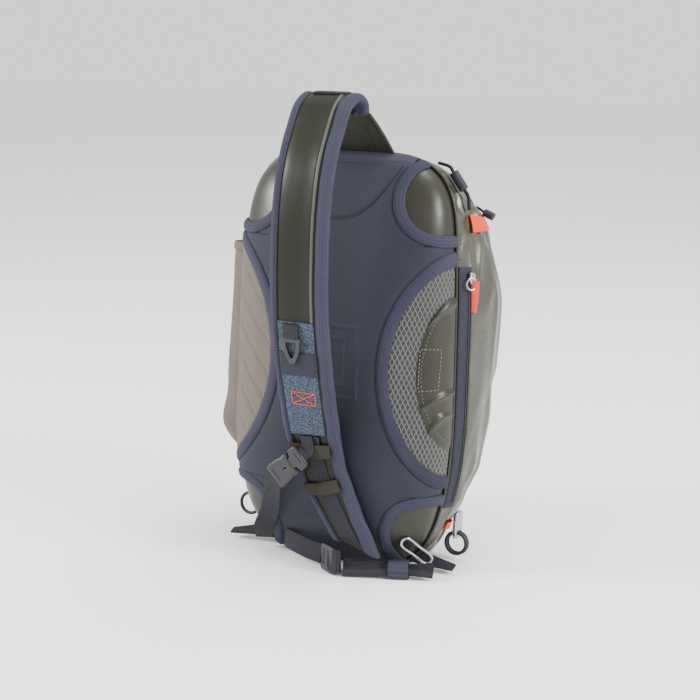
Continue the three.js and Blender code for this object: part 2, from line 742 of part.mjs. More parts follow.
// What lies on the strap's face, from the arch down
const onFace = face + CLEARANCE;
const FELT_FROM = 279;
const FELT_TO = 408;
const TAPE_FROM = 312;
const TAPE_TO = 337;
const inPad = (s) => padHalf(s) - CLEARANCE;
addPiece(bag, "strap_top_tab", strapSlab(18, 34, -20, 20, onFace, onFace + WEBBING_THICKNESS), "webbing");
addPiece(
  bag,
  "felt_patch",
  strapSlab(FELT_FROM, FELT_TO, (s) => -inPad(s), inPad, onFace, onFace + FELT_THICKNESS),
  "felt",
);
const onFelt = onFace + FELT_THICKNESS + CLEARANCE;
addPiece(
  bag,
  "felt_patch_tape",
  strapSlab(TAPE_FROM, TAPE_TO, (s) => -inPad(s), inPad, onFelt, onFelt + LAMINATE_THICKNESS),
  "slate",
);
const RING_LOOP_B = -8;
const RING_LOOP_HALF = 9;
addPiece(
  bag,
  "d_ring_loop",
  strapSlab(
    FELT_FROM + 3,
    FELT_FROM + 17,
    RING_LOOP_B - RING_LOOP_HALF,
    RING_LOOP_B + RING_LOOP_HALF,
    onFelt,
    onFelt + 3,
  ),
  "webbing",
);
const atStrap = (s, b, n) => strapPoint(s, b, n).toArray();
const D_RING = [
  [-10, 1],
  [-9, -10],
  [-2.5, -25],
  [2.5, -25],
  [9, -10],
  [10, 1],
];
const strapDown = (s) => strapLine.getTangentAt(s / STRAP_LENGTH).toArray();
const strapOut = (s) => strapPoint(s, 0, 1).sub(strapPoint(s, 0, 0)).toArray();
addPiece(
  bag,
  "d_ring",
  placed(
    plate(D_RING, 2.4, D_RING.map(([x, y]) => [x * 0.72, y * 0.78 - 2.2])),
    atStrap(FELT_FROM + 18.4, RING_LOOP_B, onFelt + 2.4),
    [1, 0, 0],
    strapOut(FELT_FROM + 20),
  ),
  "plastic",
);

// Webbing ladder on the strap's lower half, with two elastic bands across it
const LADDER_FROM = FELT_TO + 2;
addPiece(
  bag,
  "ladder_webbing",
  strapSlab(LADDER_FROM, STRAP_LENGTH - 12, -9, 9, onFace, onFace + WEBBING_THICKNESS),
  "webbing",
);
const bandHalf = (s) => strapHalf(s) - 3;
const bandLow = onFace + WEBBING_THICKNESS + CLEARANCE;
for (const [name, from] of [["elastic_band_upper", 419], ["elastic_band_lower", 464]]) {
  addPiece(
    bag,
    name,
    strapSlab(from, from + 15, (s) => -bandHalf(s), bandHalf, bandLow, bandLow + WEBBING_THICKNESS),
    "elastic",
  );
}

// Yoke: the sheet that rises from the bag's top edge to the strap's folded end
function yoke() {
  const foot = body.localToWorld(new THREE.Vector3(0, -8, HALF_HEIGHT - 8));
  const head = strapPoint(0, 0, 0);
  const rings = [];
  for (let i = 0; i <= 6; i++) {
    const t = i / 6;
    const half = THREE.MathUtils.lerp(YOKE_BASE_HALF, YOKE_TOP_HALF, t);
    const y = THREE.MathUtils.lerp(foot.y, head.y, t) + 4 * Math.sin(Math.PI * t);
    const z = THREE.MathUtils.lerp(foot.z, head.z - 1.4, t);
    const thick = YOKE_THICKNESS / 2;
    rings.push(
      [[-half, -1], [half, -1], [half, 1], [-half, 1]].map(
        ([x, k]) => new THREE.Vector3(x, y + 0.6 * k * thick, z + 0.8 * k * thick),
      ),
    );
  }
  return clearOfBody(solidOf(skin(rings)), BINDING_THICKNESS + CLEARANCE);
}
addPiece(bag, "yoke", largest(yoke()), "olive");

// A straight sleeve from one point to another, open at both ends.
function sleeve(from, to, outer, inner, sides = 12) {
  const [a, b] = [from, to].map((p) => new THREE.Vector3(...p));
  const long = a.distanceTo(b);
  const profile = [[inner, 0], [outer, 0], [outer, long], [inner, long], [inner, 0]];
  const made = new THREE.LatheGeometry(profile.map(([r, h]) => new THREE.Vector2(r, h)), sides);
  const way = b.clone().sub(a).normalize();
  const turn = new THREE.Quaternion().setFromUnitVectors(new THREE.Vector3(0, 1, 0), way);
  return made.applyQuaternion(turn).translate(a.x, a.y, a.z);
}

// Grab loop on the right shoulder: a cord that runs through a rubber grip
const GRIP_RADIUS = 5;
const GRIP_BORE = 2.6;
const CORD_RADIUS = 1.9;
const gripHigh = new THREE.Vector3(0.766 * HALF_WIDTH, 21, HALF_HEIGHT - 15);
const gripLow = new THREE.Vector3(0.872 * HALF_WIDTH, 21, HALF_HEIGHT - 33);
const onGrip = (t) => gripHigh.clone().lerp(gripLow, t).toArray();
addPiece(body, "grab_grip", sleeve(onGrip(0), onGrip(1), GRIP_RADIUS, GRIP_BORE), "rubber");
const gripCord = [
  [0.629 * HALF_WIDTH, 21, HALF_HEIGHT - 5.8],
  onGrip(-0.3),
  onGrip(-0.05),
  onGrip(1.05),
  onGrip(1.3),
  [0.925 * HALF_WIDTH, 21, HALF_HEIGHT - 54],
];
addPiece(body, "grab_cord", rod(gripCord, CORD_RADIUS, 6, 14), "webbing");

// Lid zip's pull: a cord that stands off the right side and ends in a rubber grip
const lidSpot = sideSpot(1, 0.554 * FRONT_DEPTH, 171, 0.8).toArray();
const fromLid = (x, z) => [lidSpot[0] + x, lidSpot[1], lidSpot[2] + z];
const LID_GRIP = 13;
const lidTip = fromLid(22, -5);
const lidLine = [0.93, 0, -0.37];
const alongLid = (by) => lidTip.map((v, i) => v + by * lidLine[i]);
addPiece(
  body,
  "lid_pull_cord",
  rod([lidSpot, fromLid(7, 2), alongLid(-LID_GRIP / 2 - CLEARANCE)], CORD_RADIUS * 0.8, 6, 6),
  "webbing",
);
addPiece(
  body,
  "lid_pull_grip",
  placed(
    new THREE.CylinderGeometry(4.5, 4.5, LID_GRIP, 10).rotateZ(-Math.PI / 2),
    lidTip,
    lidLine,
    [0, 1, 0],
  ),
  "rubber",
);

// Corner pulls: a slider with an eye on the body's side, and rubber rings through the eye
const cordRing = () => new THREE.TorusGeometry(LOOP_RADIUS, LOOP_CORD, 6, 16);
const eye = 2 * LOOP_CORD + 5 * CLEARANCE;
const rightSpot = sideSpot(1, 50, -163, 4 * CLEARANCE);
const rightEye = [rightSpot.x + 4.3, rightSpot.y, rightSpot.z - 23];
addPiece(
  body,
  "right_pull_slider",
  placed(
    plate(rectangle(7, 14), 5, rectangle(eye, eye / 2, 0.5, -9)),
    [rightEye[0], rightEye[1] - 0.5, rightEye[2] + 9],
    [0, 1, 0],
    [1, 0, 0],
  ),
  "metal",
);
for (const [name, shift] of [["inner", -1], ["outer", 1]]) {
  addPiece(
    body,
    "right_pull_ring_" + name,
    cordRing()
      .rotateX(Math.PI / 2)
      .translate(rightEye[0], rightEye[1] + shift * (LOOP_CORD + CLEARANCE / 2), rightEye[2] - LOOP_RADIUS),
    "rubber",
  );
}
const leftSpot = sideSpot(-1, 24, -186, CLEARANCE);
const leftEye = [leftSpot.x - 9.4, leftSpot.y, leftSpot.z];
addPiece(
  body,
  "left_pull_slider",
  placed(
    plate(rectangle(6, 5), 6, rectangle(eye / 2, eye / 2, 2, 0)),
    [leftEye[0] + 2, leftEye[1], leftEye[2]],
    [-1, 0, 0],
    [0, 0, 1],
  ),
  "metal",
);
addPiece(
  body,
  "left_pull_ring",
  cordRing()
    .rotateX(Math.PI / 2)
    .translate(leftEye[0] - LOOP_RADIUS, leftEye[1], leftEye[2]),
  "rubber",
);

// Tab of webbing over the left shoulder
const shoulder = solidOf(boxBetween([-200, seamClear, 176], [-96, seamClear + 20, 240]));
addPiece(body, "shoulder_tab", frontSheet(CLEARANCE, 4).intersect(shoulder), "webbing");

// Side-release buckle on the strap's left edge: the socket, the prong and their webbing
const BUCKLE_AXIS = [0.75, 0, 0.66];
const BUCKLE_FACE = [0.05, -1, 0.05];
const SOCKET_AT = [-30, -99, 117];
const along = (from, by) => from.map((v, i) => v + BUCKLE_AXIS[i] * by);
const halfBuckle = BUCKLE_WIDTH / 2;
addPiece(
  bag,
  "buckle_socket",
  placed(
    plate(
      [[-12, -halfBuckle], [12, -halfBuckle + 2], [12, halfBuckle - 2], [-12, halfBuckle]],
      BUCKLE_THICKNESS,
      rectangle(1.6, halfBuckle - 3.5, -8, 0),
    ),
    SOCKET_AT,
    BUCKLE_AXIS,
    BUCKLE_FACE,
  ),
  "plastic",
);
const PRONG_AT = along(SOCKET_AT, 21);
addPiece(
  bag,
  "buckle_prong",
  placed(
    plate(
      [
        [-8.6, -5],
        [-3, -5],
        [-1, -halfBuckle + 1],
        [8, -halfBuckle + 2],
        [8, halfBuckle - 2],
        [-1, halfBuckle - 1],
        [-3, 5],
        [-8.6, 5],
      ],
      BUCKLE_THICKNESS * 0.7,
      rectangle(1.4, halfBuckle - 4.5, 4.4, 0),
    ),
    PRONG_AT,
    BUCKLE_AXIS,
    BUCKLE_FACE,
  ),
  "plastic",
);
addPiece(
  bag,
  "buckle_webbing",
  ribbon(
    [along(PRONG_AT, 8.6), along(PRONG_AT, 12), atStrap(424, -4, 11.2), atStrap(411, -5, 7.3)],
    [14, 14],
    [[-0.66, 0, 0.75], [-0.75, 0, 0.6], [-0.95, 0, 0.3], [-1, 0, 0]],
    WEBBING_THICKNESS,
    8,
  ),
  "webbing",
);
const panelClear = (shape) => largest(clearOfBody(solidOf(shape), PANEL_THICKNESS + CLEARANCE));
addPiece(
  bag,
  "cross_webbing",
  panelClear(
    ribbon(
      [
        along(SOCKET_AT, -12.6),
        along(SOCKET_AT, -16),
        [-52, -88, 84],
        [-66, -70, 56],
        [-82, -57, 30],
        [-92, -36, 12],
      ],
      [WEBBING_WIDTH, WEBBING_WIDTH],
      [
        [0.66, 0, -0.75],
        [0.8, 0, -0.55],
        [0.95, 0, -0.3],
        [0.95, 0.1, -0.25],
        [0.9, 0.3, -0.2],
        [0.85, 0.45, -0.1],
      ],
      WEBBING_THICKNESS,
      12,
    ),
  ),
  "webbing",
);

// Webbing on edge along the foot of the back panel, its ladder buckle and the folded free end
const EDGE_UP = [0, 0.12, 1];
addPiece(
  bag,
  "foot_webbing",
  panelClear(
    ribbon(
      [[-62, -34, 24], [-56, -52, 23], [-40, -61, 22], [-20, -67, 20], [-2, -70, 18]],
      [WEBBING_WIDTH, WEBBING_WIDTH],
      [EDGE_UP, EDGE_UP],
      WEBBING_THICKNESS,
      8,
    ),
  ),
  "webbing",
);
const LADDER_AT = [10, -74, 16];
const LADDER_ALONG = [0.85, -0.52, 0];
addPiece(
  bag,
  "ladder_buckle",
  placed(
    plate(rectangle(11, LADDER_WIDTH / 2), 5, rectangle(2.2, LADDER_WIDTH / 2 - 3, -4.5, 0)),
    LADDER_AT,
    LADDER_ALONG,
    [-0.52, -0.85, 0.05],
  ),
  "plastic",
);
addPiece(
  bag,
  "ladder_tab",
  ribbon([[20.2, -80.2, 17], [25, -83, 17], [28, -78.5, 17]], [26, 26], [EDGE_UP, EDGE_UP], 2.2, 4),
  "webbing",
);

const HANK_FROM = [28.8, -77.4];
const HANK_TO = [124, -42];
const HANK_THICK = 13;
const hankLong = Math.hypot(HANK_TO[0] - HANK_FROM[0], HANK_TO[1] - HANK_FROM[1]);
const hankTurn = Math.atan2(HANK_TO[1] - HANK_FROM[1], HANK_TO[0] - HANK_FROM[0]);
const hankFrame = new THREE.Group();
hankFrame.position.set(HANK_FROM[0], HANK_FROM[1], 0);
hankFrame.rotation.z = hankTurn;
bag.add(hankFrame);
const bundle = new THREE.Shape();
bundle.moveTo(HANK_THICK / 2, -HANK_THICK / 2);
bundle.lineTo(hankLong - HANK_THICK / 2, -HANK_THICK / 2);
bundle.absarc(hankLong - HANK_THICK / 2, 0, HANK_THICK / 2, -Math.PI / 2, Math.PI / 2, false);
bundle.lineTo(HANK_THICK / 2, HANK_THICK / 2);
bundle.absarc(HANK_THICK / 2, 0, HANK_THICK / 2, Math.PI / 2, (3 * Math.PI) / 2, false);
const HANK_TALL = 17;
const HANK_LIFT = 1.9;
const bundleShape = { depth: HANK_TALL, bevelEnabled: false, curveSegments: 4 };
addPiece(
  hankFrame,
  "webbing_hank",
  new THREE.ExtrudeGeometry(bundle, bundleShape).translate(0, 0, HANK_LIFT),
  "webbing",
);
const KEEPER_AT = 62;
const KEEPER_WIDTH = 22;
const keeperHalf = [HANK_THICK / 2 + CLEARANCE, HANK_TALL / 2 + CLEARANCE];
addPiece(
  hankFrame,
  "hank_keeper",
  placed(
    plate(
      rectangle(keeperHalf[0] + 1.2, keeperHalf[1] + 1.2),
      KEEPER_WIDTH,
      rectangle(keeperHalf[0], keeperHalf[1]),
    ),
    [KEEPER_AT, 0, HANK_LIFT + HANK_TALL / 2],
    [0, 1, 0],
    [1, 0, 0],
  ),
  "binding",
);

// Tabs of webbing at the foot's corners, and the wire clip on the right one
addPiece(
  bag,
  "corner_tab_left",
  panelClear(
    ribbon(
      [[-70, -14, 14], [-108, -22, 13], [-143, -24, 8]],
      [18, 11],
      [[0.2, 0.9, 0.35], [0.1, 0.8, 0.5], [0, 0.9, 0.2]],
      3,
      6,
    ),
  ),
  "webbing",
);
addPiece(
  bag,
  "corner_tab_right",
  panelClear(
    ribbon(
      [[72, -10, 14], [104, -17, 12], [134, -15, 7]],
      [20, 12],
      [[-0.1, 0.95, 0.2], [-0.1, 0.8, 0.5], [0, 0.9, 0.2]],
      3,
      6,
    ),
  ),
  "webbing",
);
const CLIP_WIRE = 1.5;
function wireClip() {
  const half = [
    [-19, -5],
    [0, -5.4],
    [18, -4.6],
    [20.5, 0],
    [18, 4.6],
    [0, 5.4],
    [-19, 5],
    [-21.5, 0],
  ];
  const outline = new THREE.CatmullRomCurve3(half.map(([x, y]) => new THREE.Vector3(x, y, 0)), true);
  const rings = [];
  for (let i = 0; i < 18; i++) {
    const at = outline.getPointAt(i / 18);
    const t = outline.getTangentAt(i / 18);
    const ring = [0, 1, 2, 3, 4].map((k) => {
      const turn = (2 * Math.PI * k) / 5;
      const side = CLIP_WIRE * Math.cos(turn);
      return new THREE.Vector3(-t.y * side, t.x * side, CLIP_WIRE * Math.sin(turn)).add(at);
    });
    rings.push(ring);
  }
  return loop(rings);
}
const CLIP_AT = [0.756 * HALF_WIDTH, -36.9, 27];
addPiece(bag, "wire_clip", placed(wireClip(), CLIP_AT, [27, 26, -32], [0.6, -0.8, 0]), "metal");

export default bag;
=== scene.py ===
import math

import bpy
import numpy as np
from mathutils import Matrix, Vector


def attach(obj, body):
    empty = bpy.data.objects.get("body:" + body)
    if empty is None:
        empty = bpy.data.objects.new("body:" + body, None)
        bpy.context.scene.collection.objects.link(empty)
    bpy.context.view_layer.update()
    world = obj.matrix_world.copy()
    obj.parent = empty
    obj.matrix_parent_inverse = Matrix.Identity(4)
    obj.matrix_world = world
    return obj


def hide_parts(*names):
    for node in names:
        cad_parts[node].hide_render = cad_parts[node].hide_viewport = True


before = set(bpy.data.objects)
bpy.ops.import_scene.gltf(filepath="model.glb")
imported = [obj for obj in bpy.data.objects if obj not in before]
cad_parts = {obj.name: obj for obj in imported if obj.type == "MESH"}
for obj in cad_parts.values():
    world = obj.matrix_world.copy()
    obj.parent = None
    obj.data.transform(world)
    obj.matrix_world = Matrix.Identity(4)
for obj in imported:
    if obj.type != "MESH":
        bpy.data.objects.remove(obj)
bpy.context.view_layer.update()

# Camera: it looks at the back panel from the right and a little from above, as the photograph
# does, with a long lens.
camera_data = bpy.data.cameras.new("camera")
camera_data.lens = 85
camera_data.sensor_width = 36
camera_data.dof.use_dof = False
camera = bpy.data.objects.new("camera", camera_data)
camera.location = (0.83054, -1.56578, 0.64141)
look = Vector((-0.002, 0.0, 0.232)) - camera.location
camera.rotation_euler = look.to_track_quat("-Z", "Y").to_euler()
bpy.context.scene.collection.objects.link(camera)
bpy.context.scene.camera = camera


# Studio: a plain pale floor, a white surround and three large soft lamps.
def soft_lamp(name, at, size, power):
    """A square lamp turned towards the middle of the bag."""
    lamp = bpy.data.lights.new(name, "AREA")
    lamp.size = size
    lamp.energy = power
    holder = bpy.data.objects.new(name, lamp)
    holder.location = at
    holder.rotation_euler = (Vector((0, 0, 0.25)) - holder.location).to_track_quat("-Z", "Y").to_euler()
    bpy.context.scene.collection.objects.link(holder)


soft_lamp("key_lamp", (-1.9, -1.25, 1.3), 0.6, 85)
soft_lamp("side_lamp", (2.3, -0.2, 1.4), 0.8, 85)
soft_lamp("top_lamp", (0.3, 0.5, 2.5), 1.2, 45)
surround = bpy.data.worlds.new("surround")
surround.use_nodes = True
surround.node_tree.nodes["Background"].inputs["Color"].default_value = (1, 1, 1, 1)
surround.node_tree.nodes["Background"].inputs["Strength"].default_value = 1.3
bpy.context.scene.world = surround
floor_mesh = bpy.data.meshes.new("floor")
floor_mesh.from_pydata([(-6, -6, 0), (6, -6, 0), (6, 6, 0), (-6, 6, 0)], [], [(0, 1, 2, 3)])
floor = bpy.data.objects.new("floor", floor_mesh)
bpy.context.scene.collection.objects.link(floor)
paper = bpy.data.materials.new("floor_paper")
paper.use_nodes = True
paper.node_tree.nodes["Principled BSDF"].inputs["Base Color"].default_value = (0.93, 0.93, 0.93, 1)
paper.node_tree.nodes["Principled BSDF"].inputs["Roughness"].default_value = 0.7
floor_mesh.materials.append(paper)

# Back of the body: a dome of coated olive cloth behind the panel, seen at the four corners. It is
# sewn to the front along the seam and leans back by six degrees.
HALF_WIDTH = 132.0
HALF_HEIGHT = 226.0
HEAD_POWER = 4.0
LEFT_HEAD_POWER = 5.0
FOOT_POWER = 3.3
TAPER = 0.03
LEFT_TAPER = -0.02
BACK_DEPTH = 55.0
BACK_POWER = 2.6
FRONT_DEPTH = 130.0
FRONT_POWER = 4.2
SIDE_BULGE = 15.0
FOOT_DROP = 12.0
LEAN = math.radians(6)
SET_BACK = 25.0
SINK = 3.0
SEAM = 0.15
BACK_SHARES = [(-1, 0.5), (-0.75, 0.9), (-0.5, 1), (1, 1)]
FRONT_SHARES = [
    (-1, 0.48), (-0.74, 0.52), (-0.62, 0.68), (-0.45, 0.85), (-0.2, 0.94),
    (0.3, 1), (0.62, 0.86), (0.85, 0.62), (1, 0.5),
]
SLIM_SHARES = [(-1, 0.03), (-0.6, 0.055), (0.45, 0.075), (1, 0)]
SLIM_RETURN = 1.04
BODY_MIDDLE = np.array([0.0, 20.0, 230.0])


def eased(value, power):
    """The size of a value raised to a power, with its sign kept."""
    return np.sign(value) * np.abs(value) ** power


def shares(rows, place):
    """Value of a table at a place, with a smooth step between each two rows."""
    at, value = np.array(rows, float).T
    i = np.clip(np.searchsorted(at, place) - 1, 0, len(at) - 2)
    t = np.clip((place - at[i]) / (at[i + 1] - at[i]), 0, 1)
    return value[i] + (value[i + 1] - value[i]) * t * t * (3 - 2 * t)


def powers(x, z):
    """Which rounding power and taper hold at a place of the outline."""
    left = (x < 0) & (z > 0)
    return np.where(
        z < 0, FOOT_POWER, np.where(left, LEFT_HEAD_POWER, HEAD_POWER)
    ), np.where(left, LEFT_TAPER, TAPER)


def slim(x, place):
    """Share by which the right half of the seam draws in at a share of the height."""
    return np.where(x > 0, shares(SLIM_SHARES, place), 0)


def outline(turn):
    """Seam outline: a superellipse, its half width shrinking with height by the taper."""
    c, s = np.cos(turn), np.sin(turn)
    power, taper = powers(c, s)
    z = eased(s, 2 / power)
    x = eased(c, 2 / power) * (1 - taper * z) * (1 - slim(c, z))
    return x * HALF_WIDTH, z * HALF_HEIGHT


def level(x, z):
    """Size of the outline that passes through (x, z), as a share of the full one, found by a few
    rounds of putting the share back into the taper."""
    power, taper = powers(x, z)
    share = np.ones_like(x + z)
    for _ in range(8):
        place = np.clip(z / (share * HALF_HEIGHT), -1, 1)
        wide = HALF_WIDTH * (1 - taper * place) * (1 - slim(x, place))
        share = (np.abs(z / HALF_HEIGHT) ** power + np.abs(x / wide) ** power) ** (1 / power)
        share = np.maximum(share, 1e-6)
    return share


def back_at(x, z):
    """Point of the back dome over (x, z): its depth falls off with the outline's share."""
    share = np.minimum(level(x, z), 1)
    rise = (1 - share**BACK_POWER) ** (1 / BACK_POWER)
    depth = BACK_DEPTH * shares(BACK_SHARES, z / HALF_HEIGHT)
    return np.stack([x + 0 * rise, -SEAM - depth * rise, z + 0 * rise], -1)


def front_at(turn, rise):
    """Point of the deep front: the outline shrinks as it rises, bulges sideways in the middle and
    settles at its foot."""
    share = (1 - np.clip(rise, 0, 1) ** FRONT_POWER) ** (1 / FRONT_POWER)
    ox, oz = outline(turn)
    x, z = ox * share, oz * share
    place = z / HALF_HEIGHT
    full = shares(FRONT_SHARES, place)
    drawn = slim(x, place)
    bulge = (SIDE_BULGE / HALF_WIDTH + SLIM_RETURN * drawn) / (1 - drawn)
    bulge = bulge * np.sin(math.pi * np.clip(rise, 0, 1)) * full**2
    drop = FOOT_DROP * np.clip(-place, 0, 1) ** 2 * np.sin(math.pi / 2 * np.clip(1.4 * rise, 0, 1))
    return np.stack([x * (1 + bulge), SEAM + FRONT_DEPTH * full * rise, z - drop], -1)


def leaned(points):
    """The body's own frame turned back by the lean and set on the floor."""
    x, y, z = np.moveaxis(points, -1, 0)
    c, s = math.cos(LEAN), math.sin(LEAN)
    return np.stack(
        [x, y * c + z * s + HALF_HEIGHT * s - SET_BACK, z * c - y * s + HALF_HEIGHT * c - SINK], -1
    )


def upward(points, away=BODY_MIDDLE):
    """Unit normals of a grid of points, from the cross product of its two directions of step,
    turned away from a point."""
    a, b = np.gradient(points, axis=0), np.gradient(points, axis=1)
    n = np.cross(a, b)
    size = np.linalg.norm(n, axis=-1, keepdims=True)
    n = n / np.maximum(size, 1e-9)
    inner = n.shape[0] // 2, n.shape[1] // 2
    if np.sum((points - away) * n * np.minimum(size, 1)) < 0:
        n = -n
    bad = size[..., 0] < 1e-6
    n[bad] = n[inner] if np.any(bad) else n[bad]
    return n


def set_off(points, height, away=(0, 60.0, 0)):
    """Points moved out of their surface by a height, then leaned with the body."""
    return leaned(points + upward(points, np.array(away)) * height[..., None])


def ripples(u, v, seed, count, finest):
    """Soft random relief: a sum of sine waves in seeded directions, about -1 to 1."""
    rng = np.random.default_rng(seed)
    total = 0 * (u + v)
    for _ in range(count):
        turn, phase = rng.uniform(0, 2 * math.pi, 2)
        wave = 2 * math.pi / (finest * rng.uniform(1, 4))
        total = total + np.sin(wave * (u * math.cos(turn) + v * math.sin(turn)) + phase)
    return total / math.sqrt(count)


def mesh_piece(name, points, uv=None, wrap=False, away=BODY_MIDDLE, closed=False):
    """A grid of points (in mm) as a mesh: each four neighbours make a face, and wrap joins the
    last column to the first. Faces are turned away from a point, or outward where closed."""
    n, m = points.shape[:2]
    i, j = np.meshgrid(np.arange(n - 1), np.arange(m if wrap else m - 1), indexing="ij")
    k = (j + 1) % m
    faces = np.stack([i * m + j, (i + 1) * m + j, (i + 1) * m + k, i * m + k], -1).reshape(-1, 4)
    flat = points.reshape(-1, 3)
    a, b, c, d = (flat[faces[:, q]] for q in range(4))
    normal = np.cross(c - a, d - b)
    middle = (a + b + c + d) / 4
    facing = np.sum(normal * (middle - (flat.mean(0) if closed else away)))
    if facing < 0:
        faces = faces[:, ::-1]
    mesh = bpy.data.meshes.new(name)
    mesh.from_pydata((flat * 0.001).tolist(), [], faces.tolist())
    if uv is not None:
        corner = np.zeros(len(mesh.loops), np.int32)
        mesh.loops.foreach_get("vertex_index", corner)
        layer = mesh.uv_layers.new(name="UVMap")
        layer.data.foreach_set("uv", (uv.reshape(-1, 2)[corner] * 0.001).astype(np.float32).ravel())
    mesh.polygons.foreach_set("use_smooth", np.ones(len(mesh.polygons), bool))
    mesh.update()
    thing = bpy.data.objects.new(name, mesh)
    bpy.context.scene.collection.objects.link(thing)
    return thing


def finished(thing, material, nodes=(), wall=0.0, rounded=0.0, finer=0):
    """Gives a piece its wall, rounding, material and its place in the frame."""
    if wall:
        solid = thing.modifiers.new("wall", "SOLIDIFY")
        solid.thickness = wall * 0.001
        solid.offset = -1
    if rounded:
        bevel = thing.modifiers.new("rounded", "BEVEL")
        bevel.width = rounded * 0.001
        bevel.segments = 2
        bevel.limit_method = "ANGLE"
    if finer:
        sub = thing.modifiers.new("finer", "SUBSURF")
        sub.levels = sub.render_levels = finer
    thing.data.materials.clear()
    thing.data.materials.append(material)
    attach(thing, "root")
    if nodes:
        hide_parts(*nodes)
    return thing


def shader_group(name, inputs, outputs):
    """An empty shader group with named sockets, and its two ends."""
    group = bpy.data.node_groups.new(name, "ShaderNodeTree")
    for socket, kind, value in inputs:
        made = group.interface.new_socket(socket, in_out="INPUT", socket_type=kind)
        if value is not None:
            made.default_value = value
    for socket, kind in outputs:
        group.interface.new_socket(socket, in_out="OUTPUT", socket_type=kind)
    return group, group.nodes.new("NodeGroupInput"), group.nodes.new("NodeGroupOutput")


def maths(tree, operation, first, second=None, third=None):
    """A Math node fed by sockets or numbers."""
    node = tree.nodes.new("ShaderNodeMath")
    node.operation = operation
    for socket, value in zip(node.inputs, (first, second, third)):
        if value is None:
            continue
        if isinstance(value, (int, float)):
            socket.default_value = value
        else:
            tree.links.new(value, socket)
    return node.outputs[0]


def noise(tree, vector, scale, detail=3.0):
    """Noise over a vector, its scale a number or a socket."""
    node = tree.nodes.new("ShaderNodeTexNoise")
    node.inputs["Detail"].default_value = detail
    tree.links.new(vector, node.inputs["Vector"])
    if isinstance(scale, (int, float)):
        node.inputs["Scale"].default_value = scale
    else:
        tree.links.new(scale, node.inputs["Scale"])
    return node.outputs["Fac"]


# mottle: cloth is never one tone, so broad and fine noise shade it and scatter a little dust
mottle, mottle_in, mottle_out = shader_group(
    "mottle",
    [
        ("Vector", "NodeSocketVector", None), ("Broad", "NodeSocketFloat", 9.0),
        ("Fine", "NodeSocketFloat", 400.0)
    ],
    [("Shade", "NodeSocketFloat"), ("Grain", "NodeSocketFloat")],
)
broad = noise(mottle, mottle_in.outputs["Vector"], mottle_in.outputs["Broad"])
fine = noise(mottle, mottle_in.outputs["Vector"], mottle_in.outputs["Fine"], 2.0)
mottle.links.new(
    maths(mottle, "ADD", maths(mottle, "MULTIPLY", broad, 0.7), maths(mottle, "MULTIPLY", fine, 0.3)),
    mottle_out.inputs["Shade"]
)
mottle.links.new(fine, mottle_out.inputs["Grain"])

# weave: threads over and under each other, read from a piece's own flat coordinates
weave, weave_in, weave_out = shader_group(
    "weave",
    [
        ("Vector", "NodeSocketVector", None), ("Across", "NodeSocketFloat", 900.0),
        ("Along", "NodeSocketFloat", 900.0)
    ],
    [("Height", "NodeSocketFloat")],
)
split = weave.nodes.new("ShaderNodeSeparateXYZ")
weave.links.new(weave_in.outputs["Vector"], split.inputs[0])
warp = maths(
    weave, "SINE",
    maths(
        weave, "MULTIPLY", split.outputs["X"],
        maths(weave, "MULTIPLY", weave_in.outputs["Across"], 2 * math.pi)
    )
)
weft = maths(
    weave, "SINE",
    maths(
        weave, "MULTIPLY", split.outputs["Y"],
        maths(weave, "MULTIPLY", weave_in.outputs["Along"], 2 * math.pi)
    )
)
weave.links.new(
    maths(weave, "MULTIPLY_ADD", maths(weave, "MULTIPLY", warp, weft), 0.5, 0.5), weave_out.inputs["Height"]
)

# lattice: the crossing threads of an open net, as lines round long diamonds
lattice, lattice_in, lattice_out = shader_group(
    "lattice",
    [
        ("Vector", "NodeSocketVector", None), ("Across", "NodeSocketFloat", 130.0),
        ("Along", "NodeSocketFloat", 80.0), ("Line", "NodeSocketFloat", 0.2)
    ],
    [("Thread", "NodeSocketFloat")],
)
parts = lattice.nodes.new("ShaderNodeSeparateXYZ")
lattice.links.new(lattice_in.outputs["Vector"], parts.inputs[0])
gx = maths(lattice, "MULTIPLY", parts.outputs["X"], lattice_in.outputs["Across"])
gz = maths(lattice, "MULTIPLY", parts.outputs["Y"], lattice_in.outputs["Along"])
threads = []
for way in ("ADD", "SUBTRACT"):
    cell = maths(lattice, "FRACT", maths(lattice, way, gx, gz))
    near = maths(lattice, "ABSOLUTE", maths(lattice, "SUBTRACT", cell, 0.5))
    threads.append(
        maths(
            lattice, "SMOOTH_MIN",
            maths(lattice, "DIVIDE", maths(lattice, "SUBTRACT", 0.5, near), lattice_in.outputs["Line"]),
            1.0, 0.1
        )
    )
lattice.links.new(
    maths(lattice, "SUBTRACT", 1.0, maths(lattice, "MINIMUM", *threads)), lattice_out.inputs["Thread"]
)


def placed_group(tree, group, vector, **values):
    """A group in a material, with its own values."""
    node = tree.nodes.new("ShaderNodeGroup")
    node.node_tree = group
    tree.links.new(vector, node.inputs["Vector"])
    for socket, value in values.items():
        node.inputs[socket].default_value = value
    return node


def blended(tree, factor, low, high):
    """Colour that goes from one tone to another by a mask."""
    mix = tree.nodes.new("ShaderNodeMix")
    mix.data_type = "RGBA"
    tree.links.new(factor, mix.inputs["Factor"])
    for socket, tone in (("A", low), ("B", high)):
        target = [s for s in mix.inputs if s.name == socket and s.type == "RGBA"][0]
        if isinstance(tone, tuple):
            target.default_value = (*tone, 1)
        else:
            tree.links.new(tone, target)
    return [s for s in mix.outputs if s.type == "RGBA"][0]


def linear(red, green, blue):
    """Linear tone of an 8-bit screen colour."""
    return tuple(
        ((v / 255 + 0.055) / 1.055) ** 2.4 if v > 10 else v / 255 / 12.92 for v in (red, green, blue)
    )


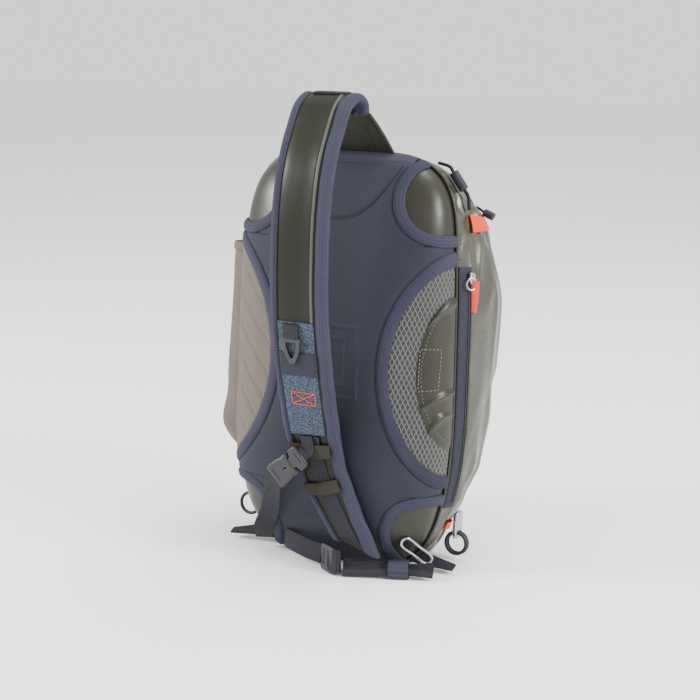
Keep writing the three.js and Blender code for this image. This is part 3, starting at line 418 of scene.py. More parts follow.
def raised(tree, bsdf, height, distance, strength=1.0):
    """Relief from a height mask, in mm."""
    bump = tree.nodes.new("ShaderNodeBump")
    bump.inputs["Distance"].default_value = distance * 0.001
    bump.inputs["Strength"].default_value = strength
    tree.links.new(height, bump.inputs["Height"])
    tree.links.new(bump.outputs["Normal"], bsdf.inputs["Normal"])


def new_finish(name):
    """A material, its tree, its shader and the two coordinates that patterns read."""
    material = bpy.data.materials.new(name)
    material.use_nodes = True
    tree = material.node_tree
    place = tree.nodes.new("ShaderNodeTexCoord").outputs["Object"]
    flat = tree.nodes.new("ShaderNodeUVMap").outputs["UV"]
    return material, tree, tree.nodes["Principled BSDF"], place, flat


def coated_cloth(name, dark, light, rough, gloss, wrinkle):
    """Cloth under a film: mottled, with small creases that the film makes shine."""
    material, tree, bsdf, place, _ = new_finish(name)
    cloth = placed_group(tree, mottle, place, Broad=7.0, Fine=900.0)
    tree.links.new(blended(tree, cloth.outputs["Shade"], dark, light), bsdf.inputs["Base Color"])
    crease = noise(tree, place, 55.0, 4.0)
    height = maths(
        tree, "ADD", maths(tree, "MULTIPLY", crease, wrinkle),
        maths(tree, "MULTIPLY", cloth.outputs["Grain"], 0.12)
    )
    raised(tree, bsdf, height, 1.2)
    tree.links.new(maths(tree, "MULTIPLY_ADD", crease, 0.25, rough - 0.12), bsdf.inputs["Roughness"])
    bsdf.inputs["Specular IOR Level"].default_value = gloss
    bsdf.inputs["Coat Weight"].default_value = gloss * 0.6
    bsdf.inputs["Coat Roughness"].default_value = 0.25
    return material


olive_cloth = coated_cloth("olive_cloth", linear(22, 22, 14), linear(40, 39, 27), 0.4, 0.28, 0.5)
turn, tilt = np.meshgrid(
    np.linspace(0, 2 * math.pi, 193)[:-1], np.linspace(0, math.pi / 2, 49) ** 1.3 / (math.pi / 2) ** 0.3,
    indexing="ij"
)
share, rise = np.cos(tilt) ** (2 / BACK_POWER), np.sin(tilt) ** (2 / BACK_POWER)
ox, oz = outline(turn)
dome = np.stack(
    [ox * share, -SEAM - BACK_DEPTH * shares(BACK_SHARES, oz * share / HALF_HEIGHT) * rise, oz * share], -1
)
dome = leaned(dome)
dome[..., 2] = np.maximum(dome[..., 2], 0.3)
back_body = mesh_piece(
    "back_body", np.swapaxes(dome, 0, 1), np.swapaxes(np.stack([ox * share, oz * share], -1), 0, 1),
    wrap=True
)
finished(back_body, olive_cloth, ["rear_shell"], wall=2.2)

# Front of the body: the deep main form, of glossy coated cloth that creases where the zips and
# seams pull on it. The contents' weight makes it settle at the foot.
coated_front = coated_cloth("coated_front", linear(34, 34, 23), linear(60, 59, 44), 0.3, 0.6, 0.8)
POCKET_X, POCKET_Z, POCKET_UP, POCKET_HIGH = 80.0, 105.0, 10.0, 14.0
turn, run = np.meshgrid(np.linspace(0, 2 * math.pi, 289)[:-1], np.linspace(0, 1, 120), indexing="ij")
tilt = math.pi / 2 * run**1.7
rise = np.sin(tilt) ** (2 / FRONT_POWER)
front = front_at(turn, rise)
girth = turn * 200
deep = rise * 130
fold = 1 - np.abs(ripples(girth * 0.8, deep * 1.5, 5, 9, 36))
puff = ripples(girth, deep, 11, 8, 80)
loose = 0.75 + 0.75 * np.exp(-(((turn - 0.62) / 0.42) ** 2))
edge = np.clip(rise * 6, 0, 1) * np.clip((1 - run) * 5, 0, 1)
beside = np.clip(np.hypot(front[..., 0] / POCKET_X, (front[..., 2] - POCKET_UP) / POCKET_Z) * 4 - 4.9, 0, 1)
flat_under_tape = np.where(rise > 0.5, beside * beside * (3 - 2 * beside), 1)
relief = (2.6 * np.clip(fold, -0.6, 1) + 1.7 * puff - 1.4) * edge * loose * flat_under_tape
front = set_off(front, relief, [0, 30.0, 0])
front[..., 2] = np.maximum(front[..., 2], 0.3)
front_body = mesh_piece(
    "front_body", np.swapaxes(front, 0, 1), np.swapaxes(np.stack([girth, deep], -1), 0, 1), wrap=True
)
finished(front_body, coated_front, ["front_shell"], wall=2.2)

# Back panel: moulded foam under slate stretch cloth, sewn on inside the arc and corner bindings.
# A plain ribbed frame is pressed into its middle and a curved line into its head.
ARC_RADIUS = 162.0
ARC_CENTRE = 220.0
ARC_HEIGHT = 2.0
BINDING = 13.5
CORNER_RADIUS = 53.0
CORNER_X = 114.0
CORNER_Z = 186.0
TOP_BAND = 212.0
PANEL_PROUD = 4.0
FRAME_X, FRAME_Z, FRAME_MIDDLE = 37.0, 38.0, 5.0


def cloth_finish(name, dark, light, threads, rough, sheen, relief=0.25, along=None):
    """Woven cloth: mottled tones, with threads as fine relief and as a faint change of tone."""
    material, tree, bsdf, place, flat = new_finish(name)
    cloth = placed_group(tree, mottle, place, Broad=8.0, Fine=700.0)
    thread = placed_group(tree, weave, flat, Across=threads, Along=along or threads)
    mask = maths(
        tree, "ADD", maths(tree, "MULTIPLY", cloth.outputs["Shade"], 0.75),
        maths(tree, "MULTIPLY", thread.outputs["Height"], 0.3)
    )
    tree.links.new(blended(tree, mask, dark, light), bsdf.inputs["Base Color"])
    raised(tree, bsdf, thread.outputs["Height"], relief)
    tree.links.new(
        maths(tree, "MULTIPLY_ADD", cloth.outputs["Grain"], 0.2, rough - 0.1), bsdf.inputs["Roughness"]
    )
    bsdf.inputs["Specular IOR Level"].default_value = 0.14
    bsdf.inputs["Sheen Weight"].default_value = sheen
    return material


slate_cloth = cloth_finish("slate_cloth", linear(26, 27, 34), linear(48, 50, 61), 1100.0, 0.6, 0.02, 0.12)


def panel_edge(z, right):
    """Half width of the panel on one side at a height: the least of the arc, the corner circle and
    the seam's outline."""
    arc = ARC_CENTRE - np.sqrt(np.maximum(ARC_RADIUS**2 - (z - ARC_HEIGHT) ** 2, 0))
    arc = np.where(np.abs(z - ARC_HEIGHT) < ARC_RADIUS, arc, 400)
    gap = CORNER_RADIUS**2 - (np.abs(z) - CORNER_Z) ** 2
    corner = np.where(gap > 0, CORNER_X - np.sqrt(np.maximum(gap, 0)), 400)
    place = np.clip(z / HALF_HEIGHT, -1, 1)
    power, taper = powers(right - 0.5, z)
    side = HALF_WIDTH * (1 - np.abs(place) ** power) ** (1 / power) * (1 - taper * place)
    side = side * (1 - slim(right - 0.5, place))
    return np.minimum(np.minimum(arc, corner) + 2.5, side - 0.4)


SMILE_FOOT, SMILE_RISE, SMILE_HALF = 156, 53, 61


def smile_at(x):
    """Height of the curved line in the panel's head: it rises from the middle by a power of x."""
    return SMILE_FOOT + SMILE_RISE * (np.abs(x) / SMILE_HALF) ** 2.6


low_rows = -HALF_HEIGHT * np.cos(np.linspace(0.05, 0.75, 40)) ** (2 / BACK_POWER)
rows = np.concatenate([low_rows, np.linspace(low_rows[-1], TOP_BAND + 2, 270)[1:]])
z, s = np.meshgrid(rows, np.linspace(-1, 1, 161), indexing="ij")
right = np.where(s > 0, 1.0, 0.0)
x = s * panel_edge(z, right)
base = back_at(x, z)
frame_x = np.abs(np.abs(x) - FRAME_X)
frame_z = np.abs(np.abs(z - FRAME_MIDDLE) - FRAME_Z)
in_frame = (np.abs(x) < FRAME_X) & (np.abs(z - FRAME_MIDDLE) < FRAME_Z)
on_line = np.where(np.abs(z - FRAME_MIDDLE) < FRAME_Z + 2, frame_x, 99)
on_line = np.minimum(on_line, np.where(np.abs(x) < FRAME_X + 2, frame_z, 99))
inner_x = np.abs(np.abs(x) - FRAME_X * 0.62)
inner_z = np.abs(np.abs(z - FRAME_MIDDLE) - FRAME_Z * 0.66)
inner = np.where(np.abs(z - FRAME_MIDDLE) < FRAME_Z * 0.66 + 1.5, inner_x, 99)
inner = np.minimum(inner, np.where(np.abs(x) < FRAME_X * 0.62 + 1.5, inner_z, 99))
proud = PANEL_PROUD + 1.0 * np.exp(-((on_line / 1.7) ** 2)) + 0.8 * np.exp(-((inner / 1.5) ** 2))
ribs = in_frame & (np.abs(x) < FRAME_X * 0.5) & (np.abs(z - FRAME_MIDDLE) < FRAME_Z * 0.5)
proud = proud + np.where(ribs, 0.5 * np.cos(z / 5.2 * 2 * math.pi) * np.cos(x / FRAME_X * math.pi) ** 2, 0)
smile = smile_at(x)
groove = np.where(np.abs(x) < 70, np.exp(-(((z - smile) / 1.9) ** 2)), 0)
lip = np.where(np.abs(x) < 70, 1 / (1 + np.exp(-(z - smile) / 1.6)), 0)
proud = proud - 2.2 * groove + 0.9 * lip
rim = panel_edge(z, right) - 2.5 - np.abs(x)
proud = proud - 2.4 * np.exp(-np.clip(rim, 0, None) / 3.2) + 0.5 * ripples(x, z, 21, 6, 80)
panel = set_off(base, proud)
panel[..., 2] = np.maximum(panel[..., 2], 4.2)
back_pad = mesh_piece("back_pad", panel, np.stack([x, z], -1))
finished(back_pad, slate_cloth, ["back_panel"], wall=3.4)

# Bindings of the back: ribbed slate-purple tape folded over the cut edges of panel and mesh and
# sewn down, round the two side arcs, the four corners and along the top.
def sine_wave(tree, axis, count):
    """A sine wave from 0 to 1 along an axis, with so many turns in a metre."""
    turn = maths(tree, "MULTIPLY", axis, 2 * math.pi * count)
    return maths(tree, "MULTIPLY_ADD", maths(tree, "SINE", turn), 0.5, 0.5)


ribbed_tape, tree, bsdf, place, flat = new_finish("ribbed_tape")
cloth = placed_group(tree, mottle, place, Broad=12.0, Fine=800.0)
axes = tree.nodes.new("ShaderNodeSeparateXYZ")
tree.links.new(flat, axes.inputs[0])
rib = sine_wave(tree, axes.outputs["Y"], 620)
cord_line = sine_wave(tree, axes.outputs["X"], 300)
mask = maths(
    tree, "ADD", maths(tree, "MULTIPLY", rib, 0.35), maths(tree, "MULTIPLY", cloth.outputs["Shade"], 0.6)
)
mask = maths(tree, "ADD", mask, maths(tree, "MULTIPLY", cord_line, 0.15))
tree.links.new(blended(tree, mask, linear(30, 30, 40), linear(62, 62, 79)), bsdf.inputs["Base Color"])
raised(tree, bsdf, maths(tree, "ADD", rib, cord_line), 0.2)
bsdf.inputs["Roughness"].default_value = 0.72
bsdf.inputs["Specular IOR Level"].default_value = 0.14


def tape_profile(b, high):
    """Height of a sewn tape across its width: flat crown, edges drawn down, a stitched dip near each."""
    return high * (1 - np.abs(b) ** 6) - 0.28 * high * np.exp(-(((np.abs(b) - 0.62) / 0.09) ** 2))


def ring_ends(cx, cz, radius, middle):
    """Turn, either side of a middle one, at which a circle leaves the outline, by halving."""
    ends = []
    for way in (-1, 1):
        inside, outside = 0 * radius, 0 * radius + math.pi * 0.95
        for _ in range(40):
            half = (inside + outside) / 2
            turn = middle + way * half
            within = level(cx + radius * np.cos(turn), cz + radius * np.sin(turn)) < 0.9996
            inside, outside = np.where(within, half, inside), np.where(within, outside, half)
        ends.append(way * inside)
    return ends


def ring_tape(name, cx, cz, outer, width, middle, high, nodes, steps=150):
    """A tape along a circle on the back dome: its turn closes in on the outline with the power
    that keeps its steps even where the dome falls to the seam."""
    b = np.linspace(-1, 1, 13)
    radius = outer - width / 2 + b * width / 2
    low, top = ring_ends(cx, cz, radius, middle)
    t = np.linspace(-1, 1, steps)[:, None]
    reach = np.where(t < 0, low, top)
    turn = middle + reach * (1 - (1 - np.abs(t)) ** 2.6)
    x, z = cx + radius * np.cos(turn), cz + radius * np.sin(turn)
    base = back_at(x, z)
    lift = tape_profile(b, high)[None, :] + 0 * x
    points = set_off(base, lift)
    points[..., 2] = np.maximum(points[..., 2], 2.5)
    uv = np.stack([b * width / 2 + 0 * x, radius * turn], -1)
    return finished(mesh_piece(name, points, uv), ribbed_tape, nodes, wall=1.2)


for sign, side in ((-1, "left"), (1, "right")):
    facing = 0 if sign < 0 else math.pi
    ring_tape(
        "arc_tape_" + side, sign * ARC_CENTRE, ARC_HEIGHT, ARC_RADIUS + 1, 14.5, facing, 4.6,
        ["binding_arc_" + side], 260
    )
    for up, end in ((1, "top"), (-1, "bottom")):
        facing = math.atan2(-up, -sign)
        ring_tape(
            f"corner_tape_{end}_{side}", sign * CORNER_X, up * CORNER_Z, CORNER_RADIUS + 1, 13.5, facing,
            4.9, [f"binding_corner_{end}_{side}"]
        )

x, t = np.meshgrid(np.linspace(-72, 72, 90), np.linspace(0, 1, 14), indexing="ij")
top_edge = np.where(
    x < 0, HALF_HEIGHT * (1 - np.abs(x / HALF_WIDTH / 1.02) ** LEFT_HEAD_POWER) ** (1 / LEFT_HEAD_POWER),
    HALF_HEIGHT * (1 - np.abs(x / HALF_WIDTH / 0.97) ** HEAD_POWER) ** (1 / HEAD_POWER)
) - 0.06
z = top_edge - (top_edge - TOP_BAND + 1) * (1 - t) ** 2.6
base = back_at(x, z)
points = set_off(base, tape_profile(2 * t - 1, 4.7))
finished(
    mesh_piece("top_tape", points, np.stack([14 * t, x], -1)), ribbed_tape, ["binding_top"],
    wall=1.2
)

# Mesh wings: open netting over foam beside the panel, silver on the right and taupe with
# diagonal quilting on the left. The right one carries an olive fan of coated cloth.
def net_cloth(name, cells, scales, tones, thread, relief, rough, gloss):
    """Open net over cloth: the lattice masks the thread's tone and stands out of the mottled ground."""
    material, tree, bsdf, place, flat = new_finish(name)
    net = placed_group(tree, lattice, flat, Across=cells[0], Along=cells[1], Line=cells[2])
    cloth = placed_group(tree, mottle, place, Broad=scales[0], Fine=scales[1])
    ground = blended(tree, cloth.outputs["Shade"], *tones)
    tree.links.new(blended(tree, net.outputs["Thread"], ground, thread), bsdf.inputs["Base Color"])
    raised(tree, bsdf, net.outputs["Thread"], relief)
    bsdf.inputs["Roughness"].default_value = rough
    bsdf.inputs["Specular IOR Level"].default_value = gloss
    return material


silver_tones = linear(38, 39, 38), linear(61, 62, 60)
silver_net = net_cloth(
    "silver_net", (150.0, 96.0, 0.22), (9.0, 900.0), silver_tones, linear(104, 105, 103), 0.9, 0.6, 0.2
)
taupe_tones = linear(56, 50, 45), linear(84, 76, 70)
taupe_net = net_cloth(
    "taupe_net", (300.0, 300.0, 0.45), (14.0, 600.0), taupe_tones, linear(112, 103, 96), 0.4, 0.85, 0.18
)


def wing(sign, cx, radius, rows, steps):
    """Points of a wing: turns round the arc's centre, and from the arc inward to the seam, with
    steps that shorten where the dome falls away."""
    cx = sign * cx
    facing = 0 if sign < 0 else math.pi
    low, top = ring_ends(cx, ARC_HEIGHT, np.array([radius]), facing)
    turn = facing + np.linspace(low[0] * 0.998, top[0] * 0.998, rows)
    inside, outside = np.full(rows, float(radius)), np.full(rows, 60.0)
    for _ in range(40):
        half = (inside + outside) / 2
        within = level(cx + half * np.cos(turn), ARC_HEIGHT + half * np.sin(turn)) < 0.9996
        inside, outside = np.where(within, half, inside), np.where(within, outside, half)
    t = np.linspace(0, 1, steps)[None, :]
    r = inside[:, None] + (radius - inside[:, None]) * (1 - t) ** 2.6
    return cx + r * np.cos(turn)[:, None], ARC_HEIGHT + r * np.sin(turn)[:, None]


for sign, side, net_finish, slot_name in (
    (-1, "left", taupe_net, "taupe_mesh"), (1, "right", silver_net, "silver_mesh")
):
    x, z = wing(sign, ARC_CENTRE, ARC_RADIUS - BINDING + 2, 150, 46)
    base = back_at(x, z)
    lift = 1.6 + 0.35 * ripples(x, z, 31, 6, 50)
    if sign < 0:
        quilt = np.abs(((x + z * 0.9) / 30) % 1 - 0.5) * 30
        lift = lift + 1.6 - 1.6 * np.exp(-(((15 - quilt) / 2.2) ** 2))
    points = set_off(base, lift)
    along = -base[..., 1] * sign * 0.9
    finished(
        mesh_piece("net_wing_" + side, points, np.stack([x - along, z], -1)), net_finish,
        ["mesh_wing_" + side], wall=1.2
    )

FAN_CENTRE, FAN_RADIUS, FAN_UP = 256.0, 157.0, 3.0
x, z = wing(1, FAN_CENTRE, FAN_RADIUS, 150, 60)
base = back_at(x, z)
reach = FAN_RADIUS - np.hypot(x - FAN_CENTRE, z - FAN_UP)
ray = np.zeros_like(x)
for tip, root in (
    ((100.0, 44.0), (123.0, 78.0)), ((101.0, -40.0), (123.0, -22.0)), ((104.0, -76.0), (121.0, -46.0))
):
    way = np.array(root) - np.array(tip)
    t = np.clip(((x - tip[0]) * way[0] + (z - tip[1]) * way[1]) / (way @ way), 0, 1)
    off = np.hypot(x - tip[0] - t * way[0], z - tip[1] - t * way[1])
    ray = ray + np.exp(-((off / (1.6 + 1.6 * t)) ** 2))
lift = 2.9 + 2.4 * ray - 1.0 * np.exp(-np.clip(reach, 0, None) / 1.5)
points = set_off(base, lift)
fan = mesh_piece("wing_fan", points, np.stack([x, z], -1))
finished(fan, olive_cloth, ["wing_fan_right"], wall=0.9)


# Stitching: light thread on the fan, in dashes that lie on the cloth.
def thread_finish(name, tone):
    """Matt thread whose twist darkens it in places."""
    material, tree, bsdf, place, _ = new_finish(name)
    twist = noise(tree, place, 2500.0, 1.0)
    tree.links.new(blended(tree, twist, tuple(v * 0.7 for v in tone), tone), bsdf.inputs["Base Color"])
    bsdf.inputs["Roughness"].default_value = 0.7
    return material


def stitches(name, path, material, dash=3.0, gap=1.6, thick=0.35):
    """Dashes along a path: each is a six-sided spindle, pointed at both ends, set where the path's
    length says and turned along it. All are placed at once by adding one spindle to each place."""
    step = np.linalg.norm(np.diff(path, axis=0), axis=1)
    run = np.concatenate([[0], np.cumsum(step)])
    starts = np.arange(0, run[-1] - dash, dash + gap)
    ends = [np.stack([np.interp(starts + d, run, path[:, k]) for k in range(3)], -1) for d in (0, dash)]
    way = ends[1] - ends[0]
    long = np.linalg.norm(way, axis=1, keepdims=True)
    way = way / np.maximum(long, 1e-6)
    side = np.cross(way, [0.3, 0.2, 0.93])
    side = side / np.linalg.norm(side, axis=1, keepdims=True)
    up = np.cross(side, way)
    lengths = np.array([0, 0.18, 0.5, 0.82, 1])
    girths = np.array([0.05, 0.8, 1, 0.8, 0.05]) * thick
    around = np.arange(6) * math.pi / 3
    ring = (
        ends[0][:, None, None]
        + (way * long)[:, None, None] * lengths[None, :, None, None]
        + side[:, None, None] * (girths[:, None] * np.cos(around))[None, :, :, None]
        + up[:, None, None] * (girths[:, None] * np.sin(around))[None, :, :, None]
    )
    count = len(starts)
    n, i, j = np.meshgrid(np.arange(count), np.arange(4), np.arange(6), indexing="ij")
    k = (j + 1) % 6
    at = lambda a, b: n * 30 + a * 6 + b
    faces = np.stack([at(i, j), at(i, k), at(i + 1, k), at(i + 1, j)], -1).reshape(-1, 4)
    mesh = bpy.data.meshes.new(name)
    mesh.from_pydata((ring.reshape(-1, 3) * 0.001).tolist(), [], faces.tolist())
    mesh.polygons.foreach_set("use_smooth", np.ones(len(mesh.polygons), bool))
    thing = bpy.data.objects.new(name, mesh)
    bpy.context.scene.collection.objects.link(thing)
    thing.data.materials.append(material)
    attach(thing, "root")
    return thing


def on_back(x, z, lift):
    """Points over the back dome along a flat path, lifted straight off it."""
    base = back_at(x, z)
    near = back_at(x + 1, z) - base
    up = back_at(x, z + 1) - base
    n = np.cross(near, up)
    n = n / np.linalg.norm(n, axis=-1, keepdims=True)
    n = np.where(n[..., 1:2] > 0, -n, n)
    return leaned(base + n * lift)


def outline_path(corners, step=1.0):
    """Evenly spaced points along straight runs between corners."""
    corners = np.array(corners, float)
    run = np.concatenate([[0], np.cumsum(np.linalg.norm(np.diff(corners, axis=0), axis=1))])
    t = np.arange(0, run[-1], step)
    return np.interp(t, run, corners[:, 0]), np.interp(t, run, corners[:, 1])


light_thread = thread_finish("light_thread", linear(128, 125, 112))
dark_thread = thread_finish("dark_thread", linear(18, 18, 21))
box_x, box_z = outline_path([(101, -19), (117, -17), (117, 26), (101, 26), (101, -19)])
stitches("fan_box_stitches", on_back(box_x, box_z, 3.3), light_thread, 2.8, 1.5, 0.42)
smile_x = np.linspace(-66, 66, 300)
smile_line = on_back(smile_x, smile_at(smile_x), PANEL_PROUD - 1.6)
angle = np.linspace(math.pi - 0.52, math.pi + 0.52, 400)
hem = FAN_RADIUS - 4
arc_x, arc_z = FAN_CENTRE + hem * np.cos(angle), FAN_UP + hem * np.sin(angle)
held = level(arc_x, arc_z) < 0.985
stitches(
    "fan_edge_stitches", on_back(arc_x[held], arc_z[held], 3.1), light_thread, 2.4, 2.0,
    0.3
)
stitches("panel_seam_thread", smile_line, dark_thread, 3.0, 0.2, 0.75)

# Seam piping: a cord inside a strip of the olive cloth, sewn into the seam all round.
def capped(rings):
    """Rings of points with a ring drawn together to its middle added at both ends."""
    first, last = (np.broadcast_to(rings[q].mean(0), rings[q].shape)[None] for q in (0, -1))
    return np.concatenate([first, rings, last])


def swept(path, profile, ahead, closed=False):
    """A profile carried along a path: at each point it spreads along two directions square to the
    path, the first of them square to a given direction too. Open ends are closed at their middle."""
    way = np.gradient(path, axis=0)
    if closed:
        way = np.roll(path, -1, 0) - np.roll(path, 1, 0)
    way = way / np.linalg.norm(way, axis=1, keepdims=True)
    side = np.cross(np.broadcast_to(ahead, way.shape), way)
    side = side / np.linalg.norm(side, axis=1, keepdims=True)
    up = np.cross(way, side)
    if profile.ndim == 2:
        profile = np.broadcast_to(profile, (len(path),) + profile.shape)
    rings = path[:, None] + side[:, None] * profile[..., :1] + up[:, None] * profile[..., 1:]
    if closed:
        return np.concatenate([rings, rings[:1]])
    return capped(rings)


def round_profile(radius, sides=12):
    """Points round a circle."""
    turn = np.linspace(0, 2 * math.pi, sides, endpoint=False)
    return np.stack([radius * np.cos(turn), radius * np.sin(turn)], -1)


def along_uv(points):
    """Flat coordinates of a swept piece: round it, and along it."""
    n, m = points.shape[:2]
    step = np.linalg.norm(np.diff(points.mean(1), axis=0), axis=1)
    run = np.concatenate([[0], np.cumsum(step)])
    girth = np.linalg.norm(np.diff(points[n // 2], axis=0), axis=1).sum()
    return np.stack(np.broadcast_arrays(np.linspace(0, girth, m)[None, :], run[:, None]), -1)


def tube(name, points):
    """A closed mesh of a swept piece, with its flat coordinates."""
    return mesh_piece(name, points, along_uv(points), wrap=True, closed=True)


turn = np.linspace(0, 2 * math.pi, 361)[:-1] - math.pi / 2
ox, oz = outline(turn)
seam_path = leaned(np.stack([ox * (1 + 1.6 / HALF_WIDTH), 0 * ox, oz * (1 + 1.6 / HALF_HEIGHT)], -1))
seam_path[:, 2] = np.maximum(seam_path[:, 2], 2.2)
points = swept(seam_path, round_profile(1.9, 10), np.array([0, 1.0, 0]), closed=True)
piping = tube("piping", points)
finished(piping, olive_cloth, ["seam_piping"])


# Side zip: slate tape glued over the right side with a dark coil along its front edge, a formed
# slider, a bent wire ring and an orange pull of coated cloth.
def side_at(side, y, z, lift=0.0):
    """Point of the front's side at a depth and height: the height is corrected a few times for the
    foot's settling, then the outline gives the width there."""
    y, z = np.broadcast_arrays(np.asarray(y, float), np.asarray(z, float))
    aim = z.copy()
    for _ in range(6):
        depth = FRONT_DEPTH * shares(FRONT_SHARES, aim / HALF_HEIGHT)
        rise = np.clip((y - SEAM) / depth, 0, 0.999)
        share = (1 - rise**FRONT_POWER) ** (1 / FRONT_POWER)
        power = np.where(aim > 0, LEFT_HEAD_POWER if side < 0 else HEAD_POWER, FOOT_POWER)
        sine = np.clip(np.abs(aim) / (share * HALF_HEIGHT), 0, 1) ** (power / 2)
        turn = np.sign(aim) * np.arcsin(sine)
        if side < 0:
            turn = math.pi - turn
        point = front_at(turn, rise)
        aim = aim + z - point[..., 2]
    point[..., 0] += side * lift
    return point


def side_strip(
    name, side, y0, y1, z0, z1, lift, material, nodes, wall, crown=0.0, rows=160, steps=14, slant=0.0,
    pinch=0.0
):
    """A strip of cloth on the side between two depths and two heights."""
    z, t = np.meshgrid(np.linspace(z0, z1, rows), np.linspace(0, 1, steps), indexing="ij")
    y = y0 + (y1 - y0) * t
    z = (z0 + z1) / 2 + (z - (z0 + z1) / 2) * (1 - pinch * t) - slant * (y - y0)
    base = side_at(side, y, z)
    high = lift + crown * (1 - np.abs(2 * t - 1) ** 4)
    points = set_off(base, high, [0, 30.0, 0])
    return finished(mesh_piece(name, points, np.stack([y, z], -1)), material, nodes, wall=wall)


ZIP_TOP, ZIP_BOTTOM = 112.0, -150.0
side_strip(
    "zip_tape", 1, 3.6, 19.0, ZIP_BOTTOM, ZIP_TOP, 1.5, slate_cloth, ["side_zip_tape"], 1.1,
    0.3
)


def scuffed(name, dark, light, broad, fine, rough, swing=0.0, relief=0.0, gloss=0.5):
    """Smooth stuff with faint scuffs: roughness swings with the fine grain, which may be raised."""
    material, tree, bsdf, place, _ = new_finish(name)
    scuff = placed_group(tree, mottle, place, Broad=broad, Fine=fine)
    tree.links.new(blended(tree, scuff.outputs["Shade"], dark, light), bsdf.inputs["Base Color"])
    bsdf.inputs["Roughness"].default_value = rough
    bsdf.inputs["Specular IOR Level"].default_value = gloss
    if relief:
        raised(tree, bsdf, scuff.outputs["Grain"], relief)
    if swing:
        tree.links.new(
            maths(tree, "MULTIPLY_ADD", scuff.outputs["Grain"], swing, rough), bsdf.inputs["Roughness"]
        )
    return material


dark_plastic = scuffed(
    "dark_plastic", linear(12, 12, 15), linear(32, 32, 38), 30.0, 1200.0, 0.28, 0.3, 0.08
)
coil_z = np.linspace(ZIP_BOTTOM + 6, ZIP_TOP - 6, 260)
for name, y, nodes in (("zip_coil_near", 14.2, ["side_zip_coil"]), ("zip_coil_far", 16.4, [])):
    line = leaned(side_at(1, np.full_like(coil_z, y), coil_z, 2.3))
    wave = round_profile(0.75, 8)[None] * (1 + 0.28 * np.sin(coil_z * 2 * math.pi / 1.6))[:, None, None]
    points = swept(line, wave, np.array([0, 1.0, 0]))
    finished(tube(name, points), dark_plastic, nodes)
seam_z = np.linspace(ZIP_BOTTOM + 4, ZIP_TOP + 40, 300)
stitches(
    "zip_seam_stitches", leaned(side_at(1, 4.6, seam_z, 2.0)), dark_thread, 3.4, 1.7, 0.4
)
stitches(
    "zip_outer_stitches", leaned(side_at(1, 20.4, seam_z[:250], 0.7)), dark_thread, 2.6, 1.5,
    0.3
)

bare_metal = scuffed("bare_metal", linear(130, 132, 136), linear(196, 198, 202), 60.0, 1500.0, 0.15, 0.25)
bare_metal.node_tree.nodes["Principled BSDF"].inputs["Metallic"].default_value = 1.0


def cut_plate(name, loops, thickness, edge, origin, along, towards, material, nodes=(), lean=False):
    """A moulded plate: closed outlines (the first the outside, the rest windows) filled, given a
    thickness and rolled edges, then set with its x along one direction and its face to another."""
    curve = bpy.data.curves.new(name, "CURVE")
    curve.dimensions = "2D"
    curve.fill_mode = "BOTH"
    curve.extrude = (thickness / 2 - edge) * 0.001
    curve.bevel_depth = edge * 0.001
    curve.bevel_resolution = 3
    for corners in loops:
        spline = curve.splines.new("POLY")
        spline.points.add(len(corners) - 1)
        spline.points.foreach_set("co", [v for x, y in corners for v in (x * 0.001, y * 0.001, 0, 1)])
        spline.use_cyclic_u = True
    holder = bpy.data.objects.new(name + "_curve", curve)
    bpy.context.scene.collection.objects.link(holder)
    mesh = bpy.data.meshes.new_from_object(holder)
    bpy.data.objects.remove(holder)
    x = np.array(along, float) / np.linalg.norm(along)
    z = np.array(towards, float)
    z = z - x * (z @ x)
    z = z / np.linalg.norm(z)
    turn = np.stack([x, np.cross(z, x), z], 1)
    co = np.zeros(len(mesh.vertices) * 3)
    mesh.vertices.foreach_get("co", co)
    co = co.reshape(-1, 3) * 1000 @ turn.T + np.array(origin, float)
    if lean:
        co = leaned(co)
    mesh.vertices.foreach_set("co", (co * 0.001).ravel())
    mesh.update()
    thing = bpy.data.objects.new(name, mesh)
    bpy.context.scene.collection.objects.link(thing)
    return finished(thing, material, nodes)


def rounded_box(half_x, half_y, corner, x=0.0, y=0.0, steps=5):
    """Outline of a rectangle with round corners."""
    turn = np.concatenate(
        [np.linspace(q, q + math.pi / 2, steps) for q in (0, math.pi / 2, math.pi, 1.5 * math.pi)]
    )
    cx = np.repeat([1, -1, -1, 1], steps) * (half_x - corner)
    cy = np.repeat([1, 1, -1, -1], steps) * (half_y - corner)
    return np.stack([x + cx + corner * np.cos(turn), y + cy + corner * np.sin(turn)], -1).tolist()


SLIDER_Z = 100.0
spot = side_at(1, 16.0, SLIDER_Z, 2.6)
out = [1.0, 0.05, 0.0]
slider_shape = [(-5.5, -2.6), (-2, -4.3), (5.5, -4.3), (5.5, 4.3), (-2, 4.3), (-5.5, 2.6)]
cut_plate(
    "zip_slider", [slider_shape], 3.2, 0.9, spot + [1.2, 0, 0], [0, 0, 1], out, bare_metal,
    ["side_zip_slider"], lean=True
)
cut_plate(
    "zip_slider_bridge", [rounded_box(3.4, 1.3, 1.2)], 2.4, 0.8, spot + [3.4, 0, 1], [0, 0, 1], out,
    bare_metal, lean=True
)


def ring_path(middle, first, second, radius, start=0.0, stop=2 * math.pi, count=60):
    """Points of a circle or of an open ring in the plane of two directions."""
    turn = np.linspace(start, stop, count, endpoint=abs(stop - start) < 2 * math.pi - 1e-6)
    first, second = np.array(first, float), np.array(second, float)
    return np.array(middle) + radius * (np.cos(turn)[:, None] * first + np.sin(turn)[:, None] * second)


def wire(name, path, radius, ahead, material, nodes=(), closed=False, lean=False, sides=12):
    """A round wire or cord along a path."""
    if lean:
        path = leaned(path)
    points = swept(path, round_profile(radius, sides), np.array(ahead, float), closed=closed)
    return finished(tube(name, points), material, nodes)


